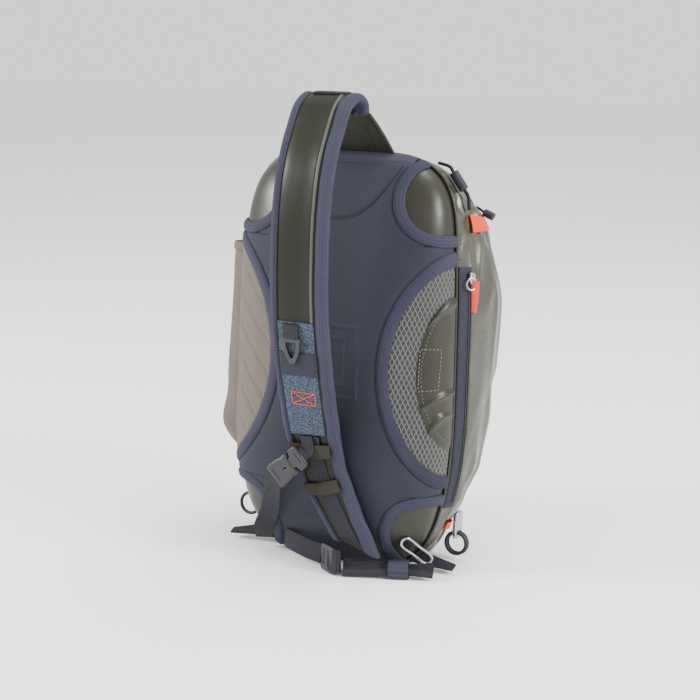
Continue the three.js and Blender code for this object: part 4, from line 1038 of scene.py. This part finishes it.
ring_mid = spot + np.array([3.8, -5.0, -5.5])
wire(
    "zip_ring", ring_path(ring_mid, [-0.6, -0.8, 0], [0, 0, 1], 6.3, -2.2, 2.5), 1.1, [0.8, -0.6, 0],
    bare_metal, ["side_zip_ring"], lean=True
)
orange_cloth = coated_cloth("orange_cloth", linear(190, 38, 4), linear(222, 66, 16), 0.45, 0.2, 0.35)
pull_z = np.linspace(0, -34, 24)
fold_line = spot + np.stack([4.8 + 0.6 * np.sin(-pull_z / 11), 4 + 0.03 * pull_z, pull_z - 3], -1)
half = np.array([(-4.8, -1.2), (0, 0.8), (4.8, -1.2), (4.8, -2.2), (0, -0.4), (-4.8, -2.2)])
half = half[None] * (1 - 0.3 * np.linspace(0, 1, 24) ** 2)[:, None, None]
points = swept(leaned(fold_line), half, np.array([0.8, -0.6, 0]))
finished(tube("zip_pull", points), orange_cloth, ["side_zip_pull"], rounded=0.3)

# Orange bands: a broad one over the lid zip's end and a narrow one at the foot.
side_strip(
    "lid_band", 1, 24, 96, 148, 167, 1.6, orange_cloth, ["lid_flap_orange"], 1.4, 0.8,
    40, 60, slant=0.06, pinch=0.75
)
side_strip(
    "foot_band", 1, 22, 50, -178, -170, 1.6, orange_cloth, ["foot_flap_orange"], 1.4,
    0.6, 16, 30
)

# Front pocket: a shallow dome with a zip tape round it, on the side that hangs away from the
# wearer. It is plain, for the photograph doesn't show it.
def front_over(x, z):
    """Point of the front over (x, z) of the seam plane: the outline's share there gives a first one,
    and the aim is shifted by what it misses by."""
    aim_x, aim_z = x, z
    for _ in range(12):
        point = front_near(aim_x, aim_z)
        aim_x, aim_z = aim_x + 0.7 * (x - point[..., 0]), aim_z + 0.7 * (z - point[..., 2])
    return point


def front_near(x, z):
    """Point of the front from the outline's share at (x, z)."""
    share = np.minimum(level(x, z), 1)
    rise = (1 - share**FRONT_POWER) ** (1 / FRONT_POWER)
    turn_s = np.clip(np.abs(z) / (share * HALF_HEIGHT), 0, 1)
    power, _ = powers(x, z)
    turn = np.arcsin(turn_s ** (power / 2)) * np.sign(z)
    turn = np.where(x < 0, math.pi - turn, turn)
    return front_at(turn, rise)


r, turn = np.meshgrid(np.linspace(0, 1, 46), np.linspace(0, 2 * math.pi, 121)[:-1], indexing="ij")
x, z = POCKET_X * r * np.cos(turn), POCKET_UP + POCKET_Z * r * np.sin(turn)
base = front_over(x, z)
high = (POCKET_HIGH - 0.4) * (1 - r**5) ** 0.5 + 0.8 * ripples(x, z, 41, 7, 45) * (1 - r**3) + 0.4
points = leaned(base + np.array([0, 1.0, 0]) * high[..., None])
finished(
    mesh_piece("front_pocket_cloth", points, np.stack([x, z], -1), wrap=True), coated_front,
    ["front_pocket"], wall=1.6
)
r, turn = np.meshgrid(np.linspace(1.005, 1.17, 12), np.linspace(0, 2 * math.pi, 181)[:-1], indexing="ij")
x, z = POCKET_X * r * np.cos(turn), POCKET_UP + POCKET_Z * r * np.sin(turn)
base = front_over(x, z)
points = leaned(
    base + np.array([0, 1.0, 0]) * (1.5 + 0.9 * np.exp(-(((r - 1.06) / 0.012) ** 2)))[..., None]
)
finished(
    mesh_piece("front_pocket_zip", points, np.stack([x, z], -1), wrap=True), slate_cloth,
    ["front_pocket_tape"], wall=1.2
)

# Bottle pocket: a sleeve of fine taupe mesh sewn to the left side, open at its bound mouth.
BOTTLE_REACH, BOTTLE_NEAR, BOTTLE_FAR, BOTTLE_TOP, BOTTLE_BOTTOM = 46.0, 6.0, 92.0, 118.0, -120.0


def bottle_at(k, rise, grow):
    """Sleeve: a rounded half ring whose reach fills out quickly from the bottom and narrows a
    little to the mouth. k runs round it from 0 to 1, rise goes up it."""
    full = 1 - (1 - np.minimum(1, rise**1.6 * 7)) ** 3
    reach = (BOTTLE_REACH + grow) * (0.35 + 0.65 * full) * (1 - 0.16 * rise)
    c, s = np.cos(math.pi * k), np.sin(math.pi * k)
    y = (BOTTLE_NEAR + BOTTLE_FAR) / 2 + eased(c, 0.6) * ((BOTTLE_FAR - BOTTLE_NEAR) / 2 + grow)
    z = BOTTLE_BOTTOM - grow + (BOTTLE_TOP - BOTTLE_BOTTOM + grow) * rise**1.6
    return np.stack([-HALF_WIDTH + 8 - (reach + 8) * np.maximum(s, 0) ** 0.6, y, z], -1)


rise, k = np.meshgrid(np.linspace(0, 1, 90), 0.5 - 0.5 * np.cos(np.linspace(0, math.pi, 70)), indexing="ij")
sleeve = bottle_at(k, rise, 0.0)
sag = 1.3 * ripples(
    k * 130, rise * 240, 51, 8, 34
) * np.clip(rise * 5, 0, 1) * np.clip((1 - rise) * 7, 0, 1)
sleeve = sleeve + upward(sleeve, np.array([-100.0, 49, 0])) * sag[..., None]
floor_row = sleeve[:1].copy()
floor_row[..., 0] = -112
sleeve = leaned(np.concatenate([floor_row, sleeve]))
uv = np.stack([np.concatenate([k[:1], k]) * 150, np.concatenate([rise[:1] - 0.1, rise]) * 240], -1)
finished(
    mesh_piece("bottle_sleeve", sleeve, uv, away=np.array([-100.0, 60, 210])), taupe_net,
    ["bottle_pocket"], wall=1.8
)
rise, k = np.meshgrid(
    np.linspace(0.976, 1.0, 8), 0.5 - 0.5 * np.cos(np.linspace(0, math.pi, 70)), indexing="ij"
)
rim = bottle_at(k, rise, 1.5)
roll = np.sin((rise - 0.976) / 0.024 * math.pi)
rim = set_off(rim, (0.5 * roll), [-100.0, 49, 0])
finished(
    mesh_piece("bottle_rim", rim, np.stack([rise * 380, k * 150], -1), away=np.array([-100.0, 60, 210])),
    taupe_net, ["bottle_pocket_rim"], wall=1.3
)

# Shoulder strap: a foam pad in satin olive cloth that rises from the yoke, arches over and hangs
# in front of the back panel. Rolled tape binds both edges, and its end is cut on the slant.
STRAP_LINE = [
    (0, -24, 494), (0, -27, 504), (0, -42, 511), (0, -62, 503), (0, -80, 479), (0, -98, 445),
    (0, -109, 403), (0, -114, 355), (0, -115, 305), (0, -109, 252), (0, -99, 202), (0, -87, 158),
    (6, -79, 118), (17, -75, 88), (30, -71, 57), (41, -68, 35), (50, -65, 15),
]
STRAP_WIDTH, STRAP_END_WIDTH, STRAP_TAPER_START, STRAP_SLANT = 67.0, 44.0, 400.0, 38.0
PAD_THICK, EDGE_WIDTH, EDGE_THICK = 8.0, 8.5, 10.4


def smooth_line(rows, count):
    """Centripetal Catmull-Rom curve through points, with the end points reflected, sampled evenly
    in each span by the pyramid of Barry and Goldman."""
    p = np.array(rows, float)
    p = np.concatenate([[2 * p[0] - p[1]], p, [2 * p[-1] - p[-2]]])
    t = np.linspace(0, len(rows) - 1, count)
    i = np.minimum(t.astype(int), len(rows) - 2)
    f = (t - i)[:, None]
    p0, p1, p2, p3 = (p[i + q] for q in range(4))
    d0, d1, d2 = (
        np.maximum(np.linalg.norm(b - a, axis=1, keepdims=True) ** 0.5, 1e-4) for a,
        b in ((p0, p1), (p1, p2), (p2, p3))
    )
    m1 = ((p1 - p0) / d0 - (p2 - p0) / (d0 + d1) + (p2 - p1) / d1) * d1
    m2 = ((p2 - p1) / d1 - (p3 - p1) / (d1 + d2) + (p3 - p2) / d2) * d1
    c2, c3 = -3 * p1 + 3 * p2 - 2 * m1 - m2, 2 * p1 - 2 * p2 + m1 + m2
    return p1 + f * (m1 + f * (c2 + f * c3))


strap_path = smooth_line(STRAP_LINE, 2400)
strap_run = np.concatenate([[0], np.cumsum(np.linalg.norm(np.diff(strap_path, axis=0), axis=1))])
STRAP_LENGTH = strap_run[-1]
strap_way = np.gradient(strap_path, axis=0)
strap_way /= np.linalg.norm(strap_way, axis=1, keepdims=True)


def strap_half(s):
    """Half width of the strap: even, then shrinking evenly to its end."""
    return (
        STRAP_WIDTH + (STRAP_END_WIDTH - STRAP_WIDTH) * np.clip(
            (s - STRAP_TAPER_START) / (STRAP_LENGTH - STRAP_TAPER_START), 0, 1
        )
    ) / 2


def strap_at(s, b, n):
    """Point of the strap: s along it, b across it and n out of its face. Its left edge is cut
    back towards the end."""
    s, b, n = np.broadcast_arrays(np.asarray(s, float), np.asarray(b, float), np.asarray(n, float))
    half = strap_half(s)
    t = np.clip((s / STRAP_LENGTH - 0.8) / 0.2, 0, 1)
    s = np.clip(
        s - STRAP_SLANT * t * t * (3 - 2 * t) * np.clip(half - b, 0, None) / (2 * half), 0, STRAP_LENGTH
    )
    at, way = (
        np.stack([np.interp(s, strap_run, a[:, q]) for q in range(3)], -1) for a in (strap_path, strap_way)
    )
    across = np.array([1.0, 0, 0]) - way * way[..., :1]
    across /= np.linalg.norm(across, axis=-1, keepdims=True)
    return at + across * b[..., None] + np.cross(way, across) * n[..., None]


def outward(thing):
    """Turns a closed piece's faces outward by its signed volume."""
    mesh = thing.data
    co = np.zeros(len(mesh.vertices) * 3)
    mesh.vertices.foreach_get("co", co)
    co = co.reshape(-1, 3) - co.reshape(-1, 3).mean(0)
    mesh.calc_loop_triangles()
    tri = np.zeros(len(mesh.loop_triangles) * 3, np.int32)
    mesh.loop_triangles.foreach_get("vertices", tri)
    a, b, c = (co[tri.reshape(-1, 3)[:, q]] for q in range(3))
    if np.sum(a * np.cross(b, c)) < 0:
        mesh.flip_normals()
    return thing


def strap_piece(name, s0, s1, profile, material, nodes, rows, relief=None, sag=0.0):
    """A closed piece along the strap: profile gives b and n round it at each s, ends are closed. Sag
    lets its middle hang down the strap."""
    s = np.linspace(s0, s1, rows)
    b, n = profile(s)
    if relief is not None:
        n = n + relief(s[:, None], b)
    hang = sag * (1 - (b / strap_half(s)[:, None]) ** 2)
    points = strap_at(s[:, None] + hang, b, n)
    points = capped(points)
    uv = np.stack([b + 0 * n, s[:, None] + 0 * b], -1)
    uv = np.concatenate([uv[:1], uv, uv[-1:]])
    piece = mesh_piece(name, points, uv, wrap=True, away=np.array([0, 20.0, 250]))
    return outward(finished(piece, material, nodes))


around = np.linspace(0, 2 * math.pi, 40, endpoint=False)


def pad_profile(s):
    """Crowned box: a superellipse of the pad's width and thickness."""
    half = (strap_half(s) - EDGE_WIDTH + 1.5)[:, None]
    c, q = np.cos(around), np.sin(around)
    return half * eased(c, 0.45), PAD_THICK / 2 * eased(q, 0.7) + 0 * half


satin_olive = coated_cloth("satin_olive", linear(18, 19, 11), linear(31, 32, 21), 0.5, 0.14, 0.25)
ROLL_WIDTH = 15.0


def pad_relief(s, b):
    """Soft swells of the foam, and the fold that stands up along the wide right binding."""
    fold = np.exp(-(((b - strap_half(s) + ROLL_WIDTH + 2.5) / 2.2) ** 2))
    return 0.5 * ripples(s, b * 1.5, 61, 7, 55) * np.clip(1 - (np.abs(b) / 26) ** 4, 0, 1) + 1.3 * fold


pad = strap_piece(
    "strap_foam", 0, STRAP_LENGTH - 1, pad_profile, satin_olive, ["strap_pad"], 300,
    pad_relief
)
for sign, side in ((-1, "left"), (1, "right")):
    broad = ROLL_WIDTH if sign > 0 else EDGE_WIDTH

    def edge_profile(s, sign=sign, broad=broad):
        """Rolled tape: a flattened round, fuller outward, broader on the right."""
        middle = (strap_half(s) - broad / 2)[:, None]
        c, q = np.cos(around[::2]), np.sin(around[::2])
        wide = broad / 2 * eased(c, 0.75)
        return sign * (middle + wide), EDGE_THICK / 2 * eased(q, 0.8) + 0 * middle

    dimple = lambda s, b: 0.25 * ripples(s, 0 * b, 71 + sign, 6, 14)
    strap_piece(
        "strap_edge_" + side, 0, STRAP_LENGTH, edge_profile, ribbed_tape,
        ["strap_binding_" + side], 420, dimple
    )


# What lies on the strap: a webbing tab over the arch, a speckled felt patch with a smooth band
# and a plastic ring on a loop, then a webbing ladder under two elastic bands.
def flat_profile(left, right, low, high):
    """Flat bar with rounded edges between two sides and two heights."""
    def profile(s):
        c, q = np.cos(around[::2]), np.sin(around[::2])
        l, r = (v(s)[:, None] if callable(v) else np.full((len(s), 1), float(v)) for v in (left, right))
        wide = eased(c, 0.25)
        return (l + r) / 2 + (r - l) / 2 * wide, (low + high) / 2 + (high - low) / 2 * eased(q, 0.5) + 0 * l
    return profile


webbing, tree, bsdf, place, flat = new_finish("dark_webbing")
cloth = placed_group(tree, mottle, place, Broad=15.0, Fine=900.0)
axes = tree.nodes.new("ShaderNodeSeparateXYZ")
tree.links.new(flat, axes.inputs[0])
wale = sine_wave(tree, axes.outputs["X"], 420)
pick = sine_wave(tree, axes.outputs["Y"], 700)
mask = maths(
    tree, "MULTIPLY_ADD", wale, 0.35,
    maths(tree, "MULTIPLY_ADD", pick, 0.25, maths(tree, "MULTIPLY", cloth.outputs["Shade"], 0.5))
)
tree.links.new(blended(tree, mask, linear(17, 17, 21), linear(46, 46, 53)), bsdf.inputs["Base Color"])
raised(tree, bsdf, maths(tree, "ADD", wale, pick), 0.25)
bsdf.inputs["Roughness"].default_value = 0.7
bsdf.inputs["Specular IOR Level"].default_value = 0.18

FACE = PAD_THICK / 2 + 0.3
inner_left = lambda s: -(strap_half(s) - EDGE_WIDTH - 0.3)
inner_right = lambda s: strap_half(s) - ROLL_WIDTH - 0.3
strap_piece(
    "arch_tab", 18, 34, flat_profile(-20, 20, FACE - 0.6, FACE + 2.0), webbing,
    ["strap_top_tab"], 30
)
felt, tree, bsdf, place, flat = new_finish("speckled_felt")
cloth = placed_group(tree, mottle, place, Broad=60.0, Fine=1500.0)
speck = tree.nodes.new("ShaderNodeMapRange")
speck.inputs["From Min"].default_value = 0.44
speck.inputs["From Max"].default_value = 0.58
tree.links.new(noise(tree, place, 650.0, 2.0), speck.inputs["Value"])
ground = blended(tree, cloth.outputs["Shade"], linear(34, 41, 51), linear(60, 69, 82))
tree.links.new(
    blended(tree, speck.outputs["Result"], ground, linear(78, 88, 101)), bsdf.inputs["Base Color"]
)
raised(tree, bsdf, speck.outputs["Result"], 0.5)
bsdf.inputs["Roughness"].default_value = 0.95
bsdf.inputs["Specular IOR Level"].default_value = 0.1
strap_piece(
    "felt_pad", 279, 408, flat_profile(inner_left, inner_right, FACE - 0.7, FACE + 1.5), felt,
    ["felt_patch"], 120, lambda s, b: 0.25 * ripples(s, b, 81, 6, 30)
)
ON_FELT = FACE + 1.5
strap_piece(
    "felt_band", 312, 337, flat_profile(inner_left, inner_right, ON_FELT - 0.3, ON_FELT + 1.2), slate_cloth,
    ["felt_patch_tape"], 40
)
strap_piece(
    "ring_loop", 281, 297, flat_profile(-17, 1, ON_FELT - 0.3, ON_FELT + 3.2), webbing,
    ["d_ring_loop"], 30, lambda s, b: 1.6 * np.exp(-(((s - 294) / 3.0) ** 2))
)
# Painted highlight: a lighter olive strip laid on the pad's fold beside the wide right binding, standing in
# for the sheen of the satin fold.
fold_highlight_paint = coated_cloth("fold_highlight_paint", linear(52, 54, 50), linear(78, 80, 76), 0.45, 0.2, 0.2)
highlight_left, highlight_right = (
    lambda s: strap_half(s) - ROLL_WIDTH - 3.6
), (lambda s: strap_half(s) - ROLL_WIDTH - 0.6)
strap_piece(
    "strap_fold_highlight", 36, 278, flat_profile(highlight_left, highlight_right, FACE - 0.6, FACE + 1.5), fold_highlight_paint,
    [], 160
)
# Painted shade: a thin near-black bar on the felt, standing in for the dark inside a slit through the felt.
strap_piece(
    "felt_slit_shade", 386, 409, flat_profile(3, 6, ON_FELT - 0.6, ON_FELT + 0.25), dark_plastic,
    [], 20
)
cross_s, cross_b = outline_path([(357, -15), (357, 13), (371, 13), (371, -15), (357, -15), (371, 13)], 0.5)
orange_thread = thread_finish("orange_thread", linear(214, 66, 24))
stitches(
    "felt_cross_stitches", strap_at(cross_s, cross_b, ON_FELT + 0.4), orange_thread, 2.6,
    0.5, 0.8
)
cross_s, cross_b = outline_path([(371, -15), (357, 13)], 0.5)
stitches(
    "felt_slant_stitches", strap_at(cross_s, cross_b, ON_FELT + 0.4), orange_thread, 2.6,
    0.5, 0.8
)
out_at = lambda s: strap_at(s, 0, 1) - strap_at(s, 0, 0)
outer_d = [(-10, 1), (-9.4, -8), (-6.5, -17), (-2.5, -25), (2.5, -25), (6.5, -17), (9.4, -8), (10, 1)]
inner_d = [
    (-7.2, -1.6), (-6.6, -8), (-4.2, -16), (-1.6, -21), (1.6, -21), (4.2, -16), (6.6, -8), (7.2, -1.6)
]
cut_plate(
    "strap_ring", [outer_d, inner_d], 3.0, 1.1, strap_at(297.6, -8, ON_FELT + 2.6), [1, 0, 0],
    out_at(299.0), dark_plastic, ["d_ring"]
)
strap_piece(
    "ladder_band", 410, STRAP_LENGTH - 12, flat_profile(-9, 9, FACE - 0.3, FACE + 1.5), webbing,
    ["ladder_webbing"], 120
)
elastic = cloth_finish(
    "woven_elastic", linear(30, 28, 22), linear(60, 57, 48), 500.0, 0.75, 0.02, 0.35, 900.0
)
for name, s0, nodes in (
    ("elastic_upper", 416, ["elastic_band_upper"]), ("elastic_lower", 461, ["elastic_band_lower"])
):
    side_l, side_r = (lambda s: -(strap_half(s) - 3)), (lambda s: strap_half(s) - ROLL_WIDTH + 4)
    bowed = lambda s, b: 1.2 * np.cos(np.clip(b / 26, -1, 1) * math.pi / 2)
    strap_piece(
        name, s0, s0 + 15, flat_profile(side_l, side_r, FACE + 1.9, FACE + 3.5), elastic, nodes,
        30, bowed, sag=6.0
    )

# Yoke: a sheet of the olive cloth from the bag's top edge up to the strap's folded end, turned
# over and sewn along its two slanting edges.
t, s = np.meshgrid(np.linspace(0, 1, 50), np.linspace(-1, 1, 50), indexing="ij")
foot = leaned(np.array([0.0, -8, HALF_HEIGHT - 8]))
head = strap_at(0, 0, 0)
half = 49 + (35 - 49) * t
x = s * half
edge_roll = np.exp(-((1 - np.abs(s)) * half / 3) ** 2)
y = foot[1] + (head[1] - foot[1]) * t + 4 * np.sin(math.pi * t) - 1.2 * edge_roll
y = y - 1.0 * np.exp(-(((np.abs(x) - half * 0.55) / 1.2) ** 2))
z = foot[2] + (head[2] - 1.4 - foot[2]) * t - 1.5 * np.sin(math.pi * t) * (1 - s**2)
yoke = mesh_piece(
    "yoke_cloth", np.stack([x, y, z], -1), np.stack([x, t * 70], -1), away=np.array([0, 100.0, 440])
)
finished(yoke, olive_cloth, ["yoke"], wall=2.4)

# Shoulder tab: webbing folded over the left shoulder of the bag.
turn = np.linspace(math.pi * 0.60, math.pi * 0.80, 50)
t, turn = np.meshgrid(np.linspace(0, 1, 12), turn, indexing="ij")
base = front_at(turn, (5 + 19 * t) / 80)
points = leaned(base + upward(base, np.array([0, 20.0, 0])) * 3.4)
finished(
    mesh_piece("shoulder_webbing", points, np.stack([t * 20, turn * 180], -1)), webbing,
    ["shoulder_tab"], wall=2.4
)

# Grab loop, lid pull and corner pulls: cords and rubber grips on the zips' ends.
rubber = scuffed(
    "grey_rubber", linear(24, 25, 30), linear(50, 53, 61), 40.0, 1100.0, 0.55, relief=0.1, gloss=0.25
)
high, low = np.array([101.1, 21, 211]), np.array([115.1, 21, 193])
grip_way = low - high
t = np.linspace(0, 1, 40)
ribbing = 5.2 + 0.35 * np.sin(t * 2 * math.pi * 7)
ribbing = ribbing * np.clip(np.minimum(t, 1 - t) * 12 + 0.6, 0, 1)
points = swept(
    leaned(high + t[:, None] * grip_way), round_profile(1, 20)[None] * ribbing[:, None, None],
    np.array([0, 1.0, 0])
)
finished(tube("grab_handle", points), rubber, ["grab_grip"])
grab_line = smooth_line(
    [
        (83, 21, 220.2), high - 0.3 * grip_way, high - 0.05 * grip_way, high + 1.05 * grip_way,
        high + 1.3 * grip_way, (122.1, 21, 172)
    ],
    80
)
wire("grab_loop", grab_line, 1.9, [0, 1, 0], webbing, ["grab_cord"], lean=True)

lid_spot = side_at(1, 72.0, 171.0, 0.8)
lid_tip = lid_spot + [22, 0, -5]
lid_way = np.array([0.93, 0, -0.37])
lid_line = smooth_line([lid_spot, lid_spot + [7, 0, 2], lid_tip - lid_way * 6.8], 40)
wire("lid_pull_loop", lid_line, 1.5, [0, 1, 0], webbing, ["lid_pull_cord"], lean=True)
t = np.linspace(-6.5, 6.5, 30)
ribbing = (4.4 + 0.3 * np.sin(t * 2 * math.pi / 2.4)) * np.clip((6.5 - np.abs(t)) * 0.7 + 0.6, 0, 1)
points = swept(
    leaned(lid_tip + t[:, None] * lid_way), round_profile(1, 20)[None] * ribbing[:, None, None],
    np.array([0, 1.0, 0])
)
finished(tube("lid_pull_tip", points), rubber, ["lid_pull_grip"])

LOOP_RADIUS, LOOP_CORD = 12.0, 2.0
eye = 2 * LOOP_CORD + 1.5
spot = side_at(1, 50.0, -163.0, 1.2)
right_eye = spot + [4.3, 0, -23]
cut_plate(
    "right_pull_body", [rounded_box(7, 14, 3), rounded_box(eye, eye / 2, 1.5, 0.5, -9)], 5, 1.4,
    right_eye + [0, -0.5, 9], [0, 1, 0], [1, 0, 0], bare_metal, ["right_pull_slider"],
    lean=True
)
for name, shift in (("inner", -1), ("outer", 1)):
    middle = right_eye + [0, shift * (LOOP_CORD + 0.15), -LOOP_RADIUS]
    wire(
        "right_loop_" + name, ring_path(middle, [1, 0, 0], [0, 0, 1], LOOP_RADIUS), LOOP_CORD, [0, 1, 0],
        rubber, ["right_pull_ring_" + name], closed=True, lean=True
    )
spot = side_at(-1, 24.0, -186.0, 0.3)
left_eye = spot + [-9.4, 0, 0]
cut_plate(
    "left_pull_body", [rounded_box(6, 5, 2), rounded_box(eye / 2, eye / 2, 1.5, 2, 0)], 6, 1.4,
    left_eye + [2, 0, 0], [-1, 0, 0], [0, 0, 1], bare_metal, ["left_pull_slider"], lean=True
)
wire(
    "left_loop", ring_path(left_eye + [-LOOP_RADIUS, 0, 0], [1, 0, 0], [0, 0, 1], LOOP_RADIUS), LOOP_CORD,
    [0, 1, 0], rubber, ["left_pull_ring"], closed=True, lean=True
)


# Side-release buckle: a dark moulded socket and prong at the strap's left edge, with the webbing
# that ties them to the strap and down to the bag's left foot.
def band(name, rows, across, width, thickness, material, nodes, count=60, wave=0.0):
    """A band along a smooth line, its width along the given directions, with rounded edges."""
    line = smooth_line(rows, count)
    sides = smooth_line(across, count)
    way = np.gradient(line, axis=0)
    way /= np.linalg.norm(way, axis=1, keepdims=True)
    sides = sides - way * np.sum(sides * way, 1, keepdims=True)
    sides /= np.linalg.norm(sides, axis=1, keepdims=True)
    face = np.cross(way, sides)
    c, q = np.cos(around[::2]), np.sin(around[::2])
    wide = np.interp(
        np.linspace(0, 1, count), np.linspace(0, 1, len(width)), width
    )[:, None] / 2 * eased(c, 0.25)
    thick = thickness / 2 * eased(q, 0.5) + wave * ripples(
        np.linspace(0, 90, count)[:, None], wide, 91, 5, 26
    )
    points = line[:, None] + sides[:, None] * wide[..., None] + face[:, None] * thick[..., None]
    points = capped(points)
    run = np.concatenate([[0], np.cumsum(np.linalg.norm(np.diff(line, axis=0), axis=1))])
    uv = np.stack(np.broadcast_arrays(wide, run[:, None]), -1)
    uv = np.concatenate([uv[:1], uv, uv[-1:]])
    return outward(finished(mesh_piece(name, points, uv, wrap=True, closed=True), material, nodes))


AXIS = np.array([0.75, 0, 0.66])
BUCKLE_FACE = [0.05, -1, 0.05]
SOCKET = np.array([-30.0, -99, 117])
PRONG = SOCKET + 21 * AXIS
socket_shape = [
    (-12, -11.5), (-9, -12.5), (4, -11.5), (7, -9.5), (12, -10.5), (12, 10.5), (7, 9.5), (4, 11.5),
    (-9, 12.5), (-12, 11.5)
]
cut_plate(
    "buckle_socket_shell", [socket_shape, rounded_box(1.6, 9, 1, -8, 0), rounded_box(3.2, 2.6, 1.4, 5, 0)],
    9, 2.2, SOCKET, AXIS, BUCKLE_FACE, dark_plastic, ["buckle_socket"]
)
for name, way in (("upper", 1), ("lower", -1)):
    cut_plate(
        "buckle_arm_" + name, [rounded_box(7, 1.6, 1.5)], 5, 1.2,
        SOCKET + AXIS * 8 + np.cross(AXIS, [0, 1, 0]) * way * 10.5, AXIS, BUCKLE_FACE, dark_plastic,
    )
prong_shape = [
    (-8.6, -5), (-3, -5), (-1, -11.5), (6, -11.5), (8, -10), (8, 10), (6, 11.5), (-1, 11.5), (-3, 5),
    (-8.6, 5)
]
cut_plate(
    "buckle_prong_shell", [prong_shape, rounded_box(1.4, 8, 1, 4.4, 0)], 6.3, 1.8, PRONG, AXIS, BUCKLE_FACE,
    dark_plastic, ["buckle_prong"]
)
band(
    "prong_webbing",
    [PRONG + AXIS * 4.4, PRONG + AXIS * 12, strap_at(424, -4, 11.2), strap_at(409, -5, 7.0)],
    [(-0.66, 0, 0.75), (-0.75, 0, 0.6), (-0.95, 0, 0.3), (-1, 0, 0)], [14, 14], 1.6, webbing,
    ["buckle_webbing"]
)
cross_rows = [
    SOCKET - AXIS * 8, SOCKET - AXIS * 16, (-52, -88, 84), (-66, -70, 56), (-82, -57, 30), (-92, -36, 12)
]
cross_sides = [
    (0.66, 0, -0.75), (0.8, 0, -0.55), (0.95, 0, -0.3), (0.95, 0.1, -0.25), (0.9, 0.3, -0.2),
    (0.85, 0.45, -0.1)
]
band(
    "cross_band", cross_rows, cross_sides, [19, 22, 22], 1.6, webbing, ["cross_webbing"], 90, 0.5
)

# Foot webbing: a band on edge along the foot of the panel to a ladder buckle, whose free end is
# folded into a flat bundle under a short sleeve.
EDGE_UP = (0, 0.12, 1)
band(
    "foot_band_webbing", [(-62, -34, 24), (-56, -52, 23), (-40, -61, 22), (-20, -67, 20), (0, -70, 18)],
    [EDGE_UP, EDGE_UP], [22, 22], 1.6, webbing, ["foot_webbing"], 60, 0.6
)
LADDER = np.array([10.0, -74, 16])
LADDER_WAY, LADDER_FACE = np.array([0.85, -0.52, 0]), [-0.52, -0.85, 0.05]
cut_plate(
    "ladder_buckle_frame",
    [rounded_box(11, 13.5, 3), rounded_box(2.2, 10.5, 1.5, -4.8, 0), rounded_box(2.2, 10.5, 1.5, 3.2, 0)],
    5, 1.8, LADDER, LADDER_WAY, LADDER_FACE, dark_plastic, ["ladder_buckle"]
)
band(
    "ladder_buckle_tab", [(14, -78.5, 17), (21, -81.5, 17), (25, -83, 17), (28, -78.5, 17)],
    [EDGE_UP, EDGE_UP], [25, 25], 2.2, webbing, ["ladder_tab"], 40
)
hank_from, hank_to = np.array([28.8, -77.4]), np.array([124.0, -42.0])
hank_long = np.linalg.norm(hank_to - hank_from)
hank_way = (hank_to - hank_from) / hank_long
hank_side = np.array([-hank_way[1], hank_way[0]])
runs = 5
strands = []
for q in range(runs):
    u = np.linspace(1.5 + 1.5 * (q % 2), hank_long - 2 - 2 * (q % 2), 90)
    spread = np.clip(1.25 - u / 62, 0.25, 1) + 0.5 * np.clip((u - 74) / 28, 0, 1)
    v = (q - 2) * (1.3 + 1.1 * spread) + 0.9 * np.sin(u / 9 + q) * spread
    z = 10.4 + (q - 2) * 2.3 * spread + 0.7 * np.sin(u / 14 + 2 * q) * spread
    plan = hank_from + u[:, None] * hank_way + np.clip(v, -5.6, 5.6)[:, None] * hank_side
    strands.append(np.concatenate([plan, z[:, None]], 1))
c, q = np.cos(around[::2]), np.sin(around[::2])
edge_bar = np.stack([0.8 * eased(c, 0.5), 3.9 * eased(q, 0.25)], -1)
for q, plan in enumerate(strands):
    points = swept(plan, edge_bar, np.array([0, 0.3, 1.0]))
    strand = tube(f"hank_strand_{q}", points)
    finished(outward(strand), webbing, ["webbing_hank"] if q == 2 else [])
turn = np.linspace(0, 2 * math.pi, 60, endpoint=False)
w, t = np.meshgrid(np.linspace(-1, 1, 20), turn, indexing="ij")
sx = 7.4 * eased(np.cos(t), 0.6)
sz = 9.7 * eased(np.sin(t), 0.35)
at_u = 62 + 11 * w
points = np.stack(
    [
        hank_from[0] + at_u * hank_way[0] + sx * hank_side[0],
        hank_from[1] + at_u * hank_way[1] + sx * hank_side[1], 10.4 + sz
    ],
    -1
)
keeper = mesh_piece("hank_sleeve", points, np.stack([at_u, t * 9], -1), wrap=True, closed=True)
finished(keeper, ribbed_tape, ["hank_keeper"], wall=1.1)

# Corner tabs and clip: folded webbing at the two feet and a plated wire clip on the right.
band(
    "corner_webbing_left", [(-70, -14, 14), (-108, -22, 13), (-143, -24, 8)],
    [(0.2, 0.9, 0.35), (0.1, 0.8, 0.5), (0, 0.9, 0.2)], [18, 11], 3.0, webbing,
    ["corner_tab_left"], 50, 0.6
)
band(
    "corner_webbing_right", [(72, -10, 14), (104, -17, 12), (134, -15, 7)],
    [(-0.1, 0.95, 0.2), (-0.1, 0.8, 0.5), (0, 0.9, 0.2)], [20, 12], 3.0, webbing,
    ["corner_tab_right"], 50, 0.6
)
clip_rows = [(-19, -5), (0, -5.4), (18, -4.6), (20.5, 0), (18, 4.6), (0, 5.4), (-19, 5), (-21.5, 0)]
clip_x = np.array([27.0, 26, -32])
clip_x /= np.linalg.norm(clip_x)
clip_z = np.array([0.6, -0.8, 0])
clip_z -= clip_x * (clip_z @ clip_x)
clip_z /= np.linalg.norm(clip_z)
clip_y = np.cross(clip_z, clip_x)
flat_clip = smooth_line([(*r, 0) for r in clip_rows + clip_rows[:3]], 160)[16:145]
clip_line = np.array([99.8, -36.9, 27]) + flat_clip[:, :1] * clip_x + flat_clip[:, 1:2] * clip_y
wire("clip_wire", clip_line[:-1], 1.5, clip_z, bare_metal, ["wire_clip"], closed=True)
